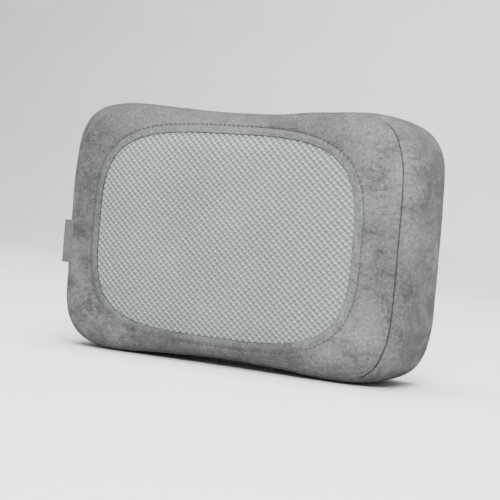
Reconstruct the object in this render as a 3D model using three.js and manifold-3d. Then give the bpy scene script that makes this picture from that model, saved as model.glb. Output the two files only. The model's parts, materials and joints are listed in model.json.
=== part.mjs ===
// Shiatsu massage pillow: a stuffed cover round a geared drive that turns two pairs of massage nodes.
// Millimetres. The origin is the centre of the flat rear face, +X is right seen from the front,
// +Z is up and the front faces -Y.
import * as THREE from "three";
import { mergeVertices } from "three/addons/utils/BufferGeometryUtils.js";
import Module from "manifold-3d";

const wasm = await Module();
wasm.setup();

// Clearances
const GAP = 0.3;
const CUT_MARGIN = 20;

// How far a solid runs into the one it is joined to, and a tool past the face it cuts.
const OVERLAP = 1;

// Pillow form: a superellipse seen from the front, with lobes taller than its waist, and another in
// section.
const HALF_WIDTH = 200;
const WAIST_HALF_HEIGHT = 126.6;
const LOBE_RISE = 11.3;
const OUTLINE_POWER = 5.8;
const HALF_THICKNESS = 62.5;
const SECTION_POWER = 5;
const REAR_PRESS = 1.2;
const MIDDLE_Y = REAR_PRESS - HALF_THICKNESS;
const BASE_Z = -130.5;
const AROUND = 52;
const INNER_AROUND = 40;
const POINT_SPREAD = 0.18;

// Cover
const COVER = 3;
const FOAM_GAP = 1;
const RECESS_GAP = 1;
const SEAM_ANGLE = THREE.MathUtils.degToRad(31.8);
const SEAM_GAP_ANGLE = THREE.MathUtils.degToRad(0.45);
const POLE = Math.PI / 2;
const PANEL_HALF_WIDTH = 145.3;
const PANEL_HALF_HEIGHT = 102.2;
const PANEL_POWER = 3.6;
const PANEL_RIM_ANGLE = THREE.MathUtils.degToRad(52);
const COVER_RIM_ANGLE = THREE.MathUtils.degToRad(80);
const PANEL_INNER_Y = -117;

// Layers between the mesh panel and the massage nodes
const LINER = { halfWidth: 140, halfHeight: 97, front: -115, rear: -113.5 };
const HEATER = { halfWidth: 108, halfHeight: 66, front: -116.3, rear: -115.3 };
const CAVITY = { halfWidth: 127, halfHeight: 81, power: 7, rear: -17.4 };

// Side tab, sewn into the left front seam
const TAB = { left: -198, right: -184, front: -110.2, rear: -109.2, bottom: -44, top: 2 };

// Zip, low on the rear
const ZIP = { z: -108, tilt: THREE.MathUtils.degToRad(22), halfLength: 134, halfWidth: 7 };
const ZIP_TAPE = { low: -2.4, high: -1.4 };
const ZIP_CHAIN = { halfLength: 132, halfWidth: 2.5, high: 0 };
const SLIDER = { x: 122, halfLength: 6.5, halfWidth: 4.8, low: 0.4, high: 2.2, flange: 1.6 };
const ARCH = { halfLength: 3.2, halfWidth: 1.1, high: 4.6, holeRadius: 1 };
const PULL = { axisHeight: 3.3, radius: 0.6, halfWidth: 3.2, armWidth: 1.6, armLength: 5.5, length: 24 };

// Control module in the left side
const CONTROL = { halfHeight: 35, halfDepth: 13, corner: 9, face: -201.2, plate: 2, back: -188, wall: 1.8 };
const BUTTON = { radius: 7, flangeRadius: 8.6, flange: 1.8, face: -202.4, stemRadius: 2.4, back: -194.8 };
const POWER_Z = 20;
const HEAT_Z = 0;
const SOCKET = { z: -21, halfWidth: 5.2, halfHeight: 3, corner: 2.4, depth: 7, wall: 0.9 };
const CONTROL_BOARD = { front: -192.6, rear: -191 };

// Drive housing, split across its depth
const HOUSING = { halfWidth: 113, bottom: -75, top: 55, rear: -18, split: -40, front: -58 };
const HOUSING_WALL = 2.5;
const HOUSING_CORNER = 16;
const FLOOR_REAR = HOUSING.rear - HOUSING_WALL;
const FLOOR_FRONT = HOUSING.front + HOUSING_WALL;
const SCREW_PLACES = [
  [-101, -63],
  [101, -63],
  [-101, 43],
  [101, 43],
];
const SCREW = { radius: 1.5, headRadius: 3.2, head: 2.2, seat: -23.6, end: -48 };
const SCREW_BOSS_RADIUS = 5;
const RIB_HALF_THICKNESS = 1.2;

// Gears
const GEAR_MODULE = 1.5;
const PRESSURE = THREE.MathUtils.degToRad(20);
const ADDENDUM = 1.3;
const DEDENDUM = 1.6;
const TOOTH_THINNING = 0.36;
const CURVED_FLANK_TEETH = 20;
const WORM_RADIUS = 7;
const WORM_LEAD = Math.PI * GEAR_MODULE;
const WORM_HALF_LENGTH = 10.5;
const WHEEL_TEETH = 24;
const PINION_TEETH = 12;
const OUTPUT_TEETH = 42;
const WHEEL_RADIUS = (WHEEL_TEETH * GEAR_MODULE) / 2;
const WHEEL_X = WORM_RADIUS + WHEEL_RADIUS;
const HEAD_X = WHEEL_X + ((PINION_TEETH + OUTPUT_TEETH) * GEAR_MODULE) / 2;
const WHEEL_FACE = { front: -40, rear: -32 };
const PINION_FACE = { front: -53, rear: -39.5 };
const OUTPUT_FACE = { front: -53, rear: -46 };

// Motor, its shaft along Z
const SHAFT_Y = (WHEEL_FACE.front + WHEEL_FACE.rear) / 2;
const MOTOR = { radius: 14, bottom: -62, top: -20, bossRadius: 5, bossTop: -17.5 };
const MOTOR_CAP = { radius: 13.4, height: 3.4 };
const MOTOR_CRADLE = { heights: [-52, -28], halfWidth: 11, depth: 8 };
const MOTOR_SHAFT = { radius: 1.6, bottom: -60, top: 19 };
const BEARING = { halfWidth: 7, bottom: 13, top: 18, front: -43 };

// Pins, output shafts and bushes
const PIN = { radius: 2, rear: -21.2, front: -57, bossRadius: 5, bossRear: -31, bossFront: -53.6 };
const OUTPUT_SHAFT = { radius: 4, rear: -21.2, front: -72, bossRadius: 8, bossEnd: -31 };
const BUSH = { radius: 7, rear: -54.4, front: -62 };
const GEAR_HUB = { radius: 9, rear: -38 };

// Massage heads
const CARRIER = { hubRadius: 11, rear: -66, armRear: -70, front: -76, armHalfWidth: 7.5 };
const POST = { radius: 4.5, front: -98, distance: 36 };
const NODE = { radius: 22, rear: -79.5, bore: 4.9, tallFront: -112, lowFront: -107, wall: 3.2 };

// Shares of a node's height, and of the quarter turn that draws its dome.
const NODE_SKIRT = 0.25;
const NODE_HOLLOW = { atWall: 0.2, atBore: 0.45 };
const DOME_STEPS = [0.2, 0.4, 0.6, 0.78, 0.92, 1];
const CARRIER_SCREW = { headRadius: 4.2, head: 2.6, radius: 1.5, end: -62 };

// Electronics
const CELL = { radius: 9.2, inner: 22, outer: 87, y: -38, z: -58 };
const CELL_CRADLE = { places: [35, 74], halfHeight: 8, depth: 3 };
const BOARD = { halfWidth: 28, bottom: 25, top: 50.5, rear: -30, front: -31.6 };
const CHIP = { left: -10, right: 0, bottom: 32, top: 42, height: 1.6 };
const CONNECTOR = { left: -22, right: -14, bottom: 30, top: 44, height: 5 };
const BOARD_POST_RADIUS = 2.5;
const BOARD_POSTS = [
  [-24, 28],
  [24, 28],
  [-24, 47],
  [24, 47],
];

// Materials

function finish(color, roughness, metalness = 0) {
  return new THREE.MeshStandardMaterial({ color, roughness, metalness });
}

const LOOKS = {
  velour: () => finish("#9d9ea0", 0.95),
  mesh: () => finish("#a9afaf", 0.85),
  band: () => finish("#98999b", 0.95),
  label: () => finish("#8a8a8a", 0.8),
  foam: () => finish("#d9d4c6", 1),
  lining: () => finish("#6f7274", 0.9),
  heater: () => finish("#3a3a3c", 0.85),
  housing: () => finish("#2d2f31", 0.55),
  gear: () => finish("#e9e6dc", 0.45),
  node: () => finish("#c8632e", 0.5),
  carrier: () => finish("#3b3d40", 0.5),
  steel: () => finish("#b9bcc0", 0.3, 1),
  can: () => finish("#a4a7ab", 0.35, 1),
  bronze: () => finish("#a9793f", 0.4, 1),
  board: () => finish("#1f5a3a", 0.5),
  chip: () => finish("#1a1b1c", 0.6),
  cell: () => finish("#2f6fb0", 0.45),
  cable: () => finish("#202122", 0.7),
  bezel: () => finish("#3a3c3f", 0.45),
  button: () => finish("#5b5e62", 0.5),
};

// Solids

const part = new THREE.Group();
part.name = "shiatsu_massage_pillow";

function solid(geometry) {
  const plain = geometry.index ? geometry : mergeVertices(geometry);
  plain.deleteAttribute("normal");
  plain.deleteAttribute("uv");
  const merged = mergeVertices(plain, 1e-4);
  return new wasm.Manifold(
    new wasm.Mesh({
      numProp: 3,
      vertProperties: new Float32Array(merged.attributes.position.array),
      triVerts: new Uint32Array(merged.index.array),
    }),
  );
}

function add(name, body, look) {
  const { vertProperties, triVerts } = body.getMesh();
  const geometry = new THREE.BufferGeometry();
  geometry.setAttribute("position", new THREE.BufferAttribute(vertProperties, 3));
  geometry.setIndex(new THREE.BufferAttribute(triVerts, 1));
  geometry.computeVertexNormals();
  const mesh = new THREE.Mesh(geometry, look());
  mesh.name = name;
  part.add(mesh);
}

function joined(first, ...others) {
  return others.reduce((all, one) => all.add(one), first);
}

function cut(body, ...tools) {
  return tools.reduce((rest, tool) => rest.subtract(tool), body);
}

function box(left, right, front, rear, bottom, top) {
  const geometry = new THREE.BoxGeometry(right - left, rear - front, top - bottom);
  return solid(geometry.translate((left + right) / 2, (front + rear) / 2, (bottom + top) / 2));
}

function rod(radius, from, to, sides = 20) {
  const geometry = new THREE.CylinderGeometry(radius, radius, to - from, sides);
  return geometry.translate(0, (from + to) / 2, 0);
}

function rodY(radius, front, rear, x, z, sides) {
  return solid(rod(radius, front, rear, sides).translate(x, 0, z));
}

function rodZ(radius, bottom, top, x, y, sides) {
  return solid(rod(radius, bottom, top, sides).rotateX(Math.PI / 2).translate(x, y, 0));
}

function rodX(radius, left, right, y, z, sides) {
  return solid(rod(radius, left, right, sides).rotateZ(-Math.PI / 2).translate(0, y, z));
}

function extruded(shape, length) {
  return new THREE.ExtrudeGeometry(shape, { depth: length, bevelEnabled: false, curveSegments: 3 });
}

// The shape's x stays X and its y becomes Z.
function prismY(shape, front, rear) {
  return solid(extruded(shape, rear - front).rotateX(Math.PI / 2).translate(0, rear, 0));
}

// The shape's x becomes Y and its y becomes Z.
function prismX(shape, left, right) {
  const turn = new THREE.Matrix4().makeBasis(
    new THREE.Vector3(0, 1, 0),
    new THREE.Vector3(0, 0, 1),
    new THREE.Vector3(1, 0, 0),
  );
  return solid(extruded(shape, right - left).applyMatrix4(turn).translate(left, 0, 0));
}

function roundedRectangle(left, right, bottom, top, corner) {
  const shape = new THREE.Shape();
  shape.moveTo(left + corner, bottom);
  shape.lineTo(right - corner, bottom);
  shape.absarc(right - corner, bottom + corner, corner, -Math.PI / 2, 0);
  shape.absarc(right - corner, top - corner, corner, 0, Math.PI / 2);
  shape.absarc(left + corner, top - corner, corner, Math.PI / 2, Math.PI);
  shape.absarc(left + corner, bottom + corner, corner, Math.PI, 1.5 * Math.PI);
  return shape;
}

function signedPower(value, power) {
  const size = Math.abs(value) < 1e-12 ? 0 : Math.abs(value) ** power;
  return Math.sign(value) * size;
}

// Angles that give a superellipse evenly spread points, with no crowding at its corners.
function spread(turn) {
  return turn - POINT_SPREAD * Math.sin(4 * turn);
}

function superellipse(halfWidth, halfHeight, power, count = AROUND) {
  const points = [];
  for (let i = 0; i < count; i++) {
    const turn = spread((i / count) * 2 * Math.PI);
    const x = halfWidth * signedPower(Math.cos(turn), 2 / power);
    const y = halfHeight * signedPower(Math.sin(turn), 2 / power);
    points.push(new THREE.Vector2(x, y));
  }
  return new THREE.Shape(points);
}

function tube(points, radius) {
  const path = new THREE.CatmullRomCurve3(points.map(([x, y, z]) => new THREE.Vector3(x, y, z)));
  const section = new THREE.Shape();
  section.absarc(0, 0, radius, 0, 2 * Math.PI);
  const steps = points.length * 3;
  return solid(
    new THREE.ExtrudeGeometry(section, { steps, extrudePath: path, curveSegments: 3, bevelEnabled: false }),
  );
}

// The pillow's form

function outlinePoint(turn) {
  const angle = spread(turn);
  const x = HALF_WIDTH * signedPower(Math.sin(angle), 2 / OUTLINE_POWER);
  const share = (x / HALF_WIDTH) ** 2;
  const halfHeight = WAIST_HALF_HEIGHT + LOBE_RISE * (2 * share - share ** 2);
  return { x, z: halfHeight * signedPower(Math.cos(angle), 2 / OUTLINE_POWER) };
}

// A point of the section, on the form shrunk by the inset; the angle runs from front pole to rear pole.
function sectionPoint(angle, inset) {
  const radius = (HALF_WIDTH - inset) * signedPower(Math.cos(angle), 2 / SECTION_POWER);
  const y = MIDDLE_Y + (HALF_THICKNESS - inset) * signedPower(Math.sin(angle), 2 / SECTION_POWER);
  return { radius, y, inset };
}

function sectionRun(from, to, inset, steps) {
  const points = [];
  for (let i = 0; i <= steps; i++) {
    points.push(sectionPoint(from + ((to - from) * i) / steps, inset));
  }
  return points;
}

// A profile turned round the Y axis, then stretched from a circle to the pillow's outline, with the
// rear and the two feet of the lobes pressed flat.
function pillowLathe(profile) {
  const points = profile.map(({ radius, y }) => new THREE.Vector2(radius, y));
  const geometry = new THREE.LatheGeometry(points, AROUND);
  const position = geometry.attributes.position;
  for (let i = 0; i < position.count; i++) {
    const { radius, y, inset } = profile[i % profile.length];
    const step = Math.floor(i / profile.length) % AROUND;
    const edge = outlinePoint((step / AROUND) * 2 * Math.PI);
    const x = (edge.x * radius) / HALF_WIDTH;
    const z = (edge.z * radius) / HALF_WIDTH;
    position.setXYZ(i, x, Math.min(y, -inset), Math.max(z, BASE_Z + inset));
  }
  return solid(geometry);
}

function frontRun(inset) {
  return sectionRun(-COVER_RIM_ANGLE, -SEAM_ANGLE - SEAM_GAP_ANGLE, inset, 5);
}

function bandRun(inset) {
  return sectionRun(-SEAM_ANGLE, SEAM_ANGLE, inset, 6);
}

function rearRun(inset) {
  return sectionRun(SEAM_ANGLE + SEAM_GAP_ANGLE, POLE, inset, 5);
}

// A ring of cover: along the outside of a run of the section, and back along its inside.
function coverRing(run) {
  const outside = run(0);
  return pillowLathe([...outside, ...run(COVER).toReversed(), outside[0]]);
}

function panelPrism(grow) {
  const outline = superellipse(PANEL_HALF_WIDTH + grow, PANEL_HALF_HEIGHT + grow, PANEL_POWER);
  return prismY(outline, -2 * HALF_THICKNESS - CUT_MARGIN, MIDDLE_Y);
}

function controlPocket() {
  const { halfDepth, halfHeight, corner, back } = CONTROL;
  const shape = roundedRectangle(
    MIDDLE_Y - halfDepth - GAP,
    MIDDLE_Y + halfDepth + GAP,
    -halfHeight - GAP,
    halfHeight + GAP,
    corner,
  );
  return prismX(shape, -HALF_WIDTH - CUT_MARGIN, back + 2 * GAP);
}

function tabSlot() {
  const { left, right, front, rear, bottom, top } = TAB;
  return box(left - GAP, right + GAP, front - GAP, rear + GAP, bottom - GAP, top + GAP);
}

// Zip pieces are drawn flat at the origin, with Y out of the cover, then laid on the sloping rear.
function laidOnRear(body) {
  const height = ZIP.z / -WAIST_HALF_HEIGHT;
  const surface = MIDDLE_Y + HALF_THICKNESS * (1 - height ** SECTION_POWER) ** (1 / SECTION_POWER);
  return body.rotate([-THREE.MathUtils.radToDeg(ZIP.tilt), 0, 0]).translate([0, surface, ZIP.z]);
}

function zipSlot() {
  const long = ZIP.halfLength + GAP;
  const wide = ZIP.halfWidth + GAP;
  return laidOnRear(box(-long, long, ZIP_TAPE.low - GAP, CUT_MARGIN, -wide, wide));
}

// Cables, each also used wider as the tool that cuts its channel

const CONTROL_CABLE = [
  [-190.2, MIDDLE_Y, -20],
  [-178, MIDDLE_Y, -20],
  [-150, -50, -12],
  [-112, -31, 8],
  [-88, -25, 20],
  [-50, -24.5, 27],
  [-30, -24.5, 33],
  [-21, -26, 35],
  [-18, -28.9, 36],
];
const HEATER_CABLE = [
  [18, -33, 40],
  [18, -34.5, 45],
  [18, -34.8, 56],
  [20, -44, 64],
  [22, -66, 67],
  [22, -100, 67],
  [22, -115, 67],
];
const MOTOR_CABLE = [
  [3, -28, -67.6],
  [8, -25, -69],
  [15, -23.5, -62],
  [17, -23.5, -40],
  [17, -23.5, 0],
  [16, -24, 25],
  [15, -26, 34],
  [14, -28.9, 37],
];
const BATTERY_CABLE = [
  [-20.4, -32, -57],
  [-18.5, -29, -54],
  [-17, -24, -46],
  [-17, -23.5, 0],
  [-15, -24, 30],
  [-12, -26, 40],
  [-11, -28.9, 42],
];
const BATTERY_LINK = [
  [-20.4, -40, -60.5],
  [-17.5, -40, -64],
  [-12, -40, -69.5],
  [12, -40, -69.5],
  [17.5, -40, -64],
  [20.4, -40, -60.5],
];
const CABLE_RADIUS = 1.2;
const CHANNEL_RADIUS = 1.8;

function addCables() {
  add("control_cable", tube(CONTROL_CABLE, CABLE_RADIUS), LOOKS.cable);
  add("heater_cable", tube(HEATER_CABLE, CABLE_RADIUS), LOOKS.cable);
  add("motor_cable", tube(MOTOR_CABLE, CABLE_RADIUS), LOOKS.cable);
  add("battery_cable", tube(BATTERY_CABLE, CABLE_RADIUS), LOOKS.cable);
  add("battery_link", tube(BATTERY_LINK, CABLE_RADIUS), LOOKS.cable);
}

// Soft pieces

function addCover() {
  add("front_cover", cut(coverRing(frontRun), panelPrism(GAP), tabSlot()), LOOKS.velour);

  const rim = sectionPoint(-PANEL_RIM_ANGLE, 0);
  const disc = pillowLathe([
    ...sectionRun(-POLE, -PANEL_RIM_ANGLE, 0, 5),
    { ...rim, y: PANEL_INNER_Y },
    { ...rim, radius: 0, y: PANEL_INNER_Y },
  ]);
  add("mesh_panel", disc.intersect(panelPrism(0)), LOOKS.mesh);

  add("side_band", cut(coverRing(bandRun), controlPocket(), tabSlot()), LOOKS.band);
  add("rear_cover", cut(coverRing(rearRun), zipSlot()), LOOKS.velour);

  const { left, right, front, rear: tabRear, bottom, top } = TAB;
  add("side_tab", box(left, right, front, tabRear, bottom, top), LOOKS.label);
}

function layerOutline({ halfWidth, halfHeight }, grow = 0) {
  return superellipse(halfWidth + grow, halfHeight + grow, PANEL_POWER, INNER_AROUND);
}

function addPadding() {
  const inset = COVER + FOAM_GAP;
  const core = pillowLathe([
    sectionPoint(-POLE, inset),
    ...frontRun(inset),
    ...bandRun(inset),
    ...rearRun(inset),
  ]);
  const front = -2 * HALF_THICKNESS - CUT_MARGIN;
  const opening = superellipse(CAVITY.halfWidth, CAVITY.halfHeight, CAVITY.power, INNER_AROUND);
  const cavity = prismY(opening, front, CAVITY.rear);
  const step = prismY(layerOutline(LINER, RECESS_GAP), front, LINER.rear + GAP);
  const recess = prismY(
    superellipse(PANEL_HALF_WIDTH + RECESS_GAP, PANEL_HALF_HEIGHT + RECESS_GAP, PANEL_POWER),
    front,
    PANEL_INNER_Y + GAP,
  );
  const channel = tube(CONTROL_CABLE, CHANNEL_RADIUS);
  const tools = [cavity, step, recess, controlPocket(), channel, zipSlot(), tabSlot()];
  add("foam_core", cut(core, ...tools), LOOKS.foam);

  const liner = prismY(layerOutline(LINER), LINER.front, LINER.rear);
  add("inner_liner", cut(liner, tube(HEATER_CABLE, CHANNEL_RADIUS)), LOOKS.lining);
  add("heater_pad", prismY(layerOutline(HEATER), HEATER.front, HEATER.rear), LOOKS.heater);
}

function addZip() {
  const { halfLength, halfWidth } = ZIP;
  const tape = box(-halfLength, halfLength, ZIP_TAPE.low, ZIP_TAPE.high, -halfWidth, halfWidth);
  const { halfLength: chainLong, halfWidth: chainWide, high } = ZIP_CHAIN;
  const chain = box(-chainLong, chainLong, ZIP_TAPE.low, high, -chainWide, chainWide);
  add("zip_tape", laidOnRear(joined(tape, chain)), LOOKS.lining);

  const long = SLIDER.halfLength;
  const wide = SLIDER.halfWidth;
  const plate = box(-long, long, SLIDER.low, SLIDER.high, -wide, wide);
  const skirtLow = ZIP_TAPE.high + GAP;
  const skirts = [-1, 1].map((side) => {
    const middle = side * (wide - SLIDER.flange / 2);
    const half = SLIDER.flange / 2;
    return box(-long, long, skirtLow, SLIDER.high, middle - half, middle + half);
  });
  const { halfLength: archLong, halfWidth: archWide, high: archHigh } = ARCH;
  const arch = box(-archLong, archLong, SLIDER.low, archHigh, -archWide, archWide);
  const eye = rodZ(ARCH.holeRadius, -wide, wide, 0, PULL.axisHeight, 12);
  const slider = cut(joined(plate, ...skirts, arch), eye);
  add("zip_slider", laidOnRear(slider.translate([SLIDER.x, 0, 0])), LOOKS.steel);

  const pin = rodZ(PULL.radius, -PULL.halfWidth, PULL.halfWidth, 0, PULL.axisHeight, 12);
  const low = PULL.axisHeight - PULL.radius;
  const top = PULL.axisHeight + PULL.radius;
  const arms = [-1, 1].map((side) => {
    const half = PULL.armWidth / 2;
    const middle = side * (PULL.halfWidth - half);
    return box(-PULL.radius, PULL.armLength, low, top, middle - half, middle + half);
  });
  const grip = box(PULL.armLength - OVERLAP, PULL.length, low, top, -PULL.halfWidth, PULL.halfWidth);
  const pull = joined(pin, ...arms, grip);
  add("zip_pull", laidOnRear(pull.translate([SLIDER.x, 0, 0])), LOOKS.steel);
}

// Controls, in the left side with their faces to -X

function buttonSolid(z) {
  const plateBack = CONTROL.face + CONTROL.plate;
  const flangeFront = plateBack + GAP;
  const cap = rodX(BUTTON.radius, BUTTON.face, flangeFront + BUTTON.flange, MIDDLE_Y, z);
  const flange = rodX(BUTTON.flangeRadius, flangeFront, flangeFront + BUTTON.flange, MIDDLE_Y, z);
  const stem = rodX(BUTTON.stemRadius, flangeFront, BUTTON.back, MIDDLE_Y, z, 12);
  return joined(cap, flange, stem);
}

function addControls() {
  const { halfDepth, halfHeight, corner, face, plate, back, wall } = CONTROL;
  const y = MIDDLE_Y;
  const outer = roundedRectangle(y - halfDepth, y + halfDepth, -halfHeight, halfHeight, corner);
  const inner = roundedRectangle(
    y - halfDepth + wall,
    y + halfDepth - wall,
    -halfHeight + wall,
    halfHeight - wall,
    corner - wall,
  );
  const socketHole = roundedRectangle(
    y - SOCKET.halfWidth - GAP,
    y + SOCKET.halfWidth + GAP,
    SOCKET.z - SOCKET.halfHeight - GAP,
    SOCKET.z + SOCKET.halfHeight + GAP,
    SOCKET.corner,
  );
  const bezel = cut(
    prismX(outer, face, back),
    prismX(inner, face + plate, back + OVERLAP),
    rodX(BUTTON.radius + GAP, face - OVERLAP, back, y, POWER_Z),
    rodX(BUTTON.radius + GAP, face - OVERLAP, back, y, HEAT_Z),
    prismX(socketHole, face - OVERLAP, back),
  );
  add("control_bezel", bezel, LOOKS.bezel);
  add("power_button", buttonSolid(POWER_Z), LOOKS.button);
  add("heat_button", buttonSolid(HEAT_Z), LOOKS.button);

  const shell = roundedRectangle(
    y - SOCKET.halfWidth,
    y + SOCKET.halfWidth,
    SOCKET.z - SOCKET.halfHeight,
    SOCKET.z + SOCKET.halfHeight,
    SOCKET.corner,
  );
  const mouth = roundedRectangle(
    y - SOCKET.halfWidth + SOCKET.wall,
    y + SOCKET.halfWidth - SOCKET.wall,
    SOCKET.z - SOCKET.halfHeight + SOCKET.wall,
    SOCKET.z + SOCKET.halfHeight - SOCKET.wall,
    SOCKET.corner - SOCKET.wall,
  );
  const socketFront = face + GAP;
  const socket = cut(
    prismX(shell, socketFront, CONTROL_BOARD.front - GAP),
    prismX(mouth, socketFront - OVERLAP, socketFront + SOCKET.depth),
  );
  add("charge_socket", socket, LOOKS.steel);

  const deep = halfDepth - wall - GAP;
  const high = halfHeight - wall - GAP;
  const card = roundedRectangle(y - deep, y + deep, -high, high, corner - wall - GAP);
  add("control_board", prismX(card, CONTROL_BOARD.front, CONTROL_BOARD.rear), LOOKS.board);
}

// Housing

function housingOutline(shrink) {
  const { halfWidth, bottom, top } = HOUSING;
  return roundedRectangle(
    -halfWidth + shrink,
    halfWidth - shrink,
    bottom + shrink,
    top - shrink,
    HOUSING_CORNER - shrink,
  );
}

function housingRear(walls) {
  const { rear, split } = HOUSING;
  const hollow = prismY(walls.inner, split - OVERLAP, FLOOR_REAR);
  const solids = [cut(prismY(walls.outer, split, rear), hollow)];
  const holes = [tube(CONTROL_CABLE, CHANNEL_RADIUS), tube(HEATER_CABLE, CHANNEL_RADIUS)];
  for (const [x, z] of SCREW_PLACES) {
    solids.push(rodY(SCREW_BOSS_RADIUS, split, rear, x, z));
    holes.push(rodY(SCREW.radius + GAP, split - OVERLAP, rear + OVERLAP, x, z, 12));
    holes.push(rodY(SCREW.headRadius + GAP, SCREW.seat, rear + OVERLAP, x, z, 16));
  }
  for (const side of [-1, 1]) {
    const wheelX = side * WHEEL_X;
    const headX = side * HEAD_X;
    solids.push(rodY(PIN.bossRadius, PIN.bossRear, rear, wheelX, 0));
    holes.push(rodY(PIN.radius + GAP, PIN.bossRear - OVERLAP, PIN.rear + GAP, wheelX, 0, 16));
    const { radius, bossRadius, bossEnd, rear: shaftRear } = OUTPUT_SHAFT;
    solids.push(rodY(bossRadius, bossEnd, rear, headX, 0));
    holes.push(rodY(radius + GAP, bossEnd - OVERLAP, shaftRear + GAP, headX, 0));
    for (const place of CELL_CRADLE.places) {
      const [left, right] = [side * place - RIB_HALF_THICKNESS, side * place + RIB_HALF_THICKNESS];
      const { depth, halfHeight } = CELL_CRADLE;
      solids.push(box(left, right, CELL.y + depth, rear, CELL.z - halfHeight, CELL.z + halfHeight));
    }
  }
  holes.push(rodX(CELL.radius + GAP, -CELL.outer - GAP, CELL.outer + GAP, CELL.y, CELL.z));
  for (const z of MOTOR_CRADLE.heights) {
    const { halfWidth, depth } = MOTOR_CRADLE;
    const [low, high] = [z - RIB_HALF_THICKNESS, z + RIB_HALF_THICKNESS];
    solids.push(box(-halfWidth, halfWidth, SHAFT_Y + depth, rear, low, high));
  }
  holes.push(rodZ(MOTOR.radius + GAP, MOTOR.bottom, MOTOR.top, 0, SHAFT_Y, 32));
  for (const [x, z] of BOARD_POSTS) {
    solids.push(rodY(BOARD_POST_RADIUS, BOARD.rear + GAP, rear, x, z, 12));
  }
  return cut(joined(...solids), ...holes);
}

function housingFront(walls) {
  const { split, front } = HOUSING;
  const joint = split - GAP;
  const hollow = prismY(walls.inner, FLOOR_FRONT, split + OVERLAP);
  const solids = [cut(prismY(walls.outer, front, joint), hollow)];
  const holes = [];
  for (const [x, z] of SCREW_PLACES) {
    solids.push(rodY(SCREW_BOSS_RADIUS, front, joint, x, z));
    holes.push(rodY(SCREW.radius + GAP, SCREW.end - GAP, split + OVERLAP, x, z, 12));
  }
  for (const side of [-1, 1]) {
    solids.push(rodY(PIN.bossRadius, front, PIN.bossFront, side * WHEEL_X, 0));
    holes.push(rodY(PIN.radius + GAP, PIN.front - GAP, PIN.bossFront + OVERLAP, side * WHEEL_X, 0, 16));
    holes.push(rodY(BUSH.radius + GAP, front - OVERLAP, FLOOR_FRONT + OVERLAP, side * HEAD_X, 0));
  }
  return cut(joined(...solids), ...holes);
}

function addHousing() {
  const walls = { outer: housingOutline(0), inner: housingOutline(HOUSING_WALL) };
  add("housing_rear", housingRear(walls), LOOKS.housing);
  add("housing_front", housingFront(walls), LOOKS.housing);

  const headFront = SCREW.seat + GAP;
  SCREW_PLACES.forEach(([x, z], i) => {
    const head = rodY(SCREW.headRadius, headFront, headFront + SCREW.head, x, z, 16);
    const shank = rodY(SCREW.radius, SCREW.end, headFront + OVERLAP, x, z, 12);
    add(`housing_screw_${i + 1}`, joined(head, shank), LOOKS.steel);
  });
}

// Gears

function involute(angle) {
  return Math.tan(angle) - angle;
}

// A spur gear's outline round the origin; phase is in teeth, and at 0 a tooth points along +X.
function gearOutline(teeth, phase) {
  const pitch = (teeth * GEAR_MODULE) / 2;
  const base = pitch * Math.cos(PRESSURE);
  const thickness = (Math.PI * GEAR_MODULE) / 2 - TOOTH_THINNING;
  const halfAt = (radius) => {
    const slope = Math.acos(base / Math.max(radius, base));
    return thickness / (2 * pitch) + involute(PRESSURE) - involute(slope);
  };
  const root = pitch - DEDENDUM;
  const tip = pitch + ADDENDUM;
  const radii = teeth < CURVED_FLANK_TEETH ? [root, pitch, tip] : [root, tip];
  const points = [];
  for (let tooth = 0; tooth < teeth; tooth++) {
    const middle = ((tooth + phase) / teeth) * 2 * Math.PI;
    const rising = radii.map((radius) => [radius, middle - halfAt(radius)]);
    const falling = radii.toReversed().map((radius) => [radius, middle + halfAt(radius)]);
    for (const [radius, angle] of [...rising, ...falling]) {
      points.push(new THREE.Vector2(radius * Math.cos(angle), radius * Math.sin(angle)));
    }
  }
  return new THREE.Shape(points);
}

// A gear with helical teeth that match the worm's thread: each layer is turned in step with its depth.
function helicalGear(teeth, phase, face) {
  const middle = (face.front + face.rear) / 2;
  const leadPerLength = WORM_LEAD / (2 * Math.PI * WORM_RADIUS);
  const turnPerLength = leadPerLength / WHEEL_RADIUS;
  const shape = gearOutline(teeth, phase);
  const geometry = extruded(shape, face.rear - face.front).rotateX(Math.PI / 2).translate(0, face.rear, 0);
  const position = geometry.attributes.position;
  const axis = new THREE.Vector3(0, 1, 0);
  const point = new THREE.Vector3();
  for (let i = 0; i < position.count; i++) {
    point.fromBufferAttribute(position, i);
    point.applyAxisAngle(axis, turnPerLength * (point.y - middle));
    position.setXYZ(i, point.x, point.y, point.z);
  }
  return solid(geometry);
}

// A cylinder whose radius follows a right-hand thread; at angle 0 a crest stands at the middle.
function wormSolid() {
  const sides = 16;
  const rows = 32;
  const blank = new THREE.CylinderGeometry(1, 1, 2 * WORM_HALF_LENGTH, sides, rows).rotateX(Math.PI / 2);
  const halfAtPitch = WORM_LEAD / 4 - TOOTH_THINNING / 2;
  const position = blank.attributes.position;
  for (let i = 0; i < position.count; i++) {
    const [x, y, z] = [position.getX(i), position.getY(i), position.getZ(i)];
    if (Math.hypot(x, y) < 0.5) continue;
    const turns = z / WORM_LEAD - Math.atan2(y, x) / (2 * Math.PI);
    const fromCrest = Math.abs(turns - Math.round(turns)) * WORM_LEAD;
    const flank = WORM_RADIUS + (halfAtPitch - fromCrest) / Math.tan(PRESSURE);
    const radius = THREE.MathUtils.clamp(flank, WORM_RADIUS - DEDENDUM, WORM_RADIUS + ADDENDUM);
    position.setXYZ(i, x * radius, y * radius, z);
  }
  const long = WORM_HALF_LENGTH + OVERLAP;
  const bore = rodZ(MOTOR_SHAFT.radius + GAP, -long, long, 0, 0, 16);
  return cut(solid(blank), bore).translate([0, SHAFT_Y, 0]);
}

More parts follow.
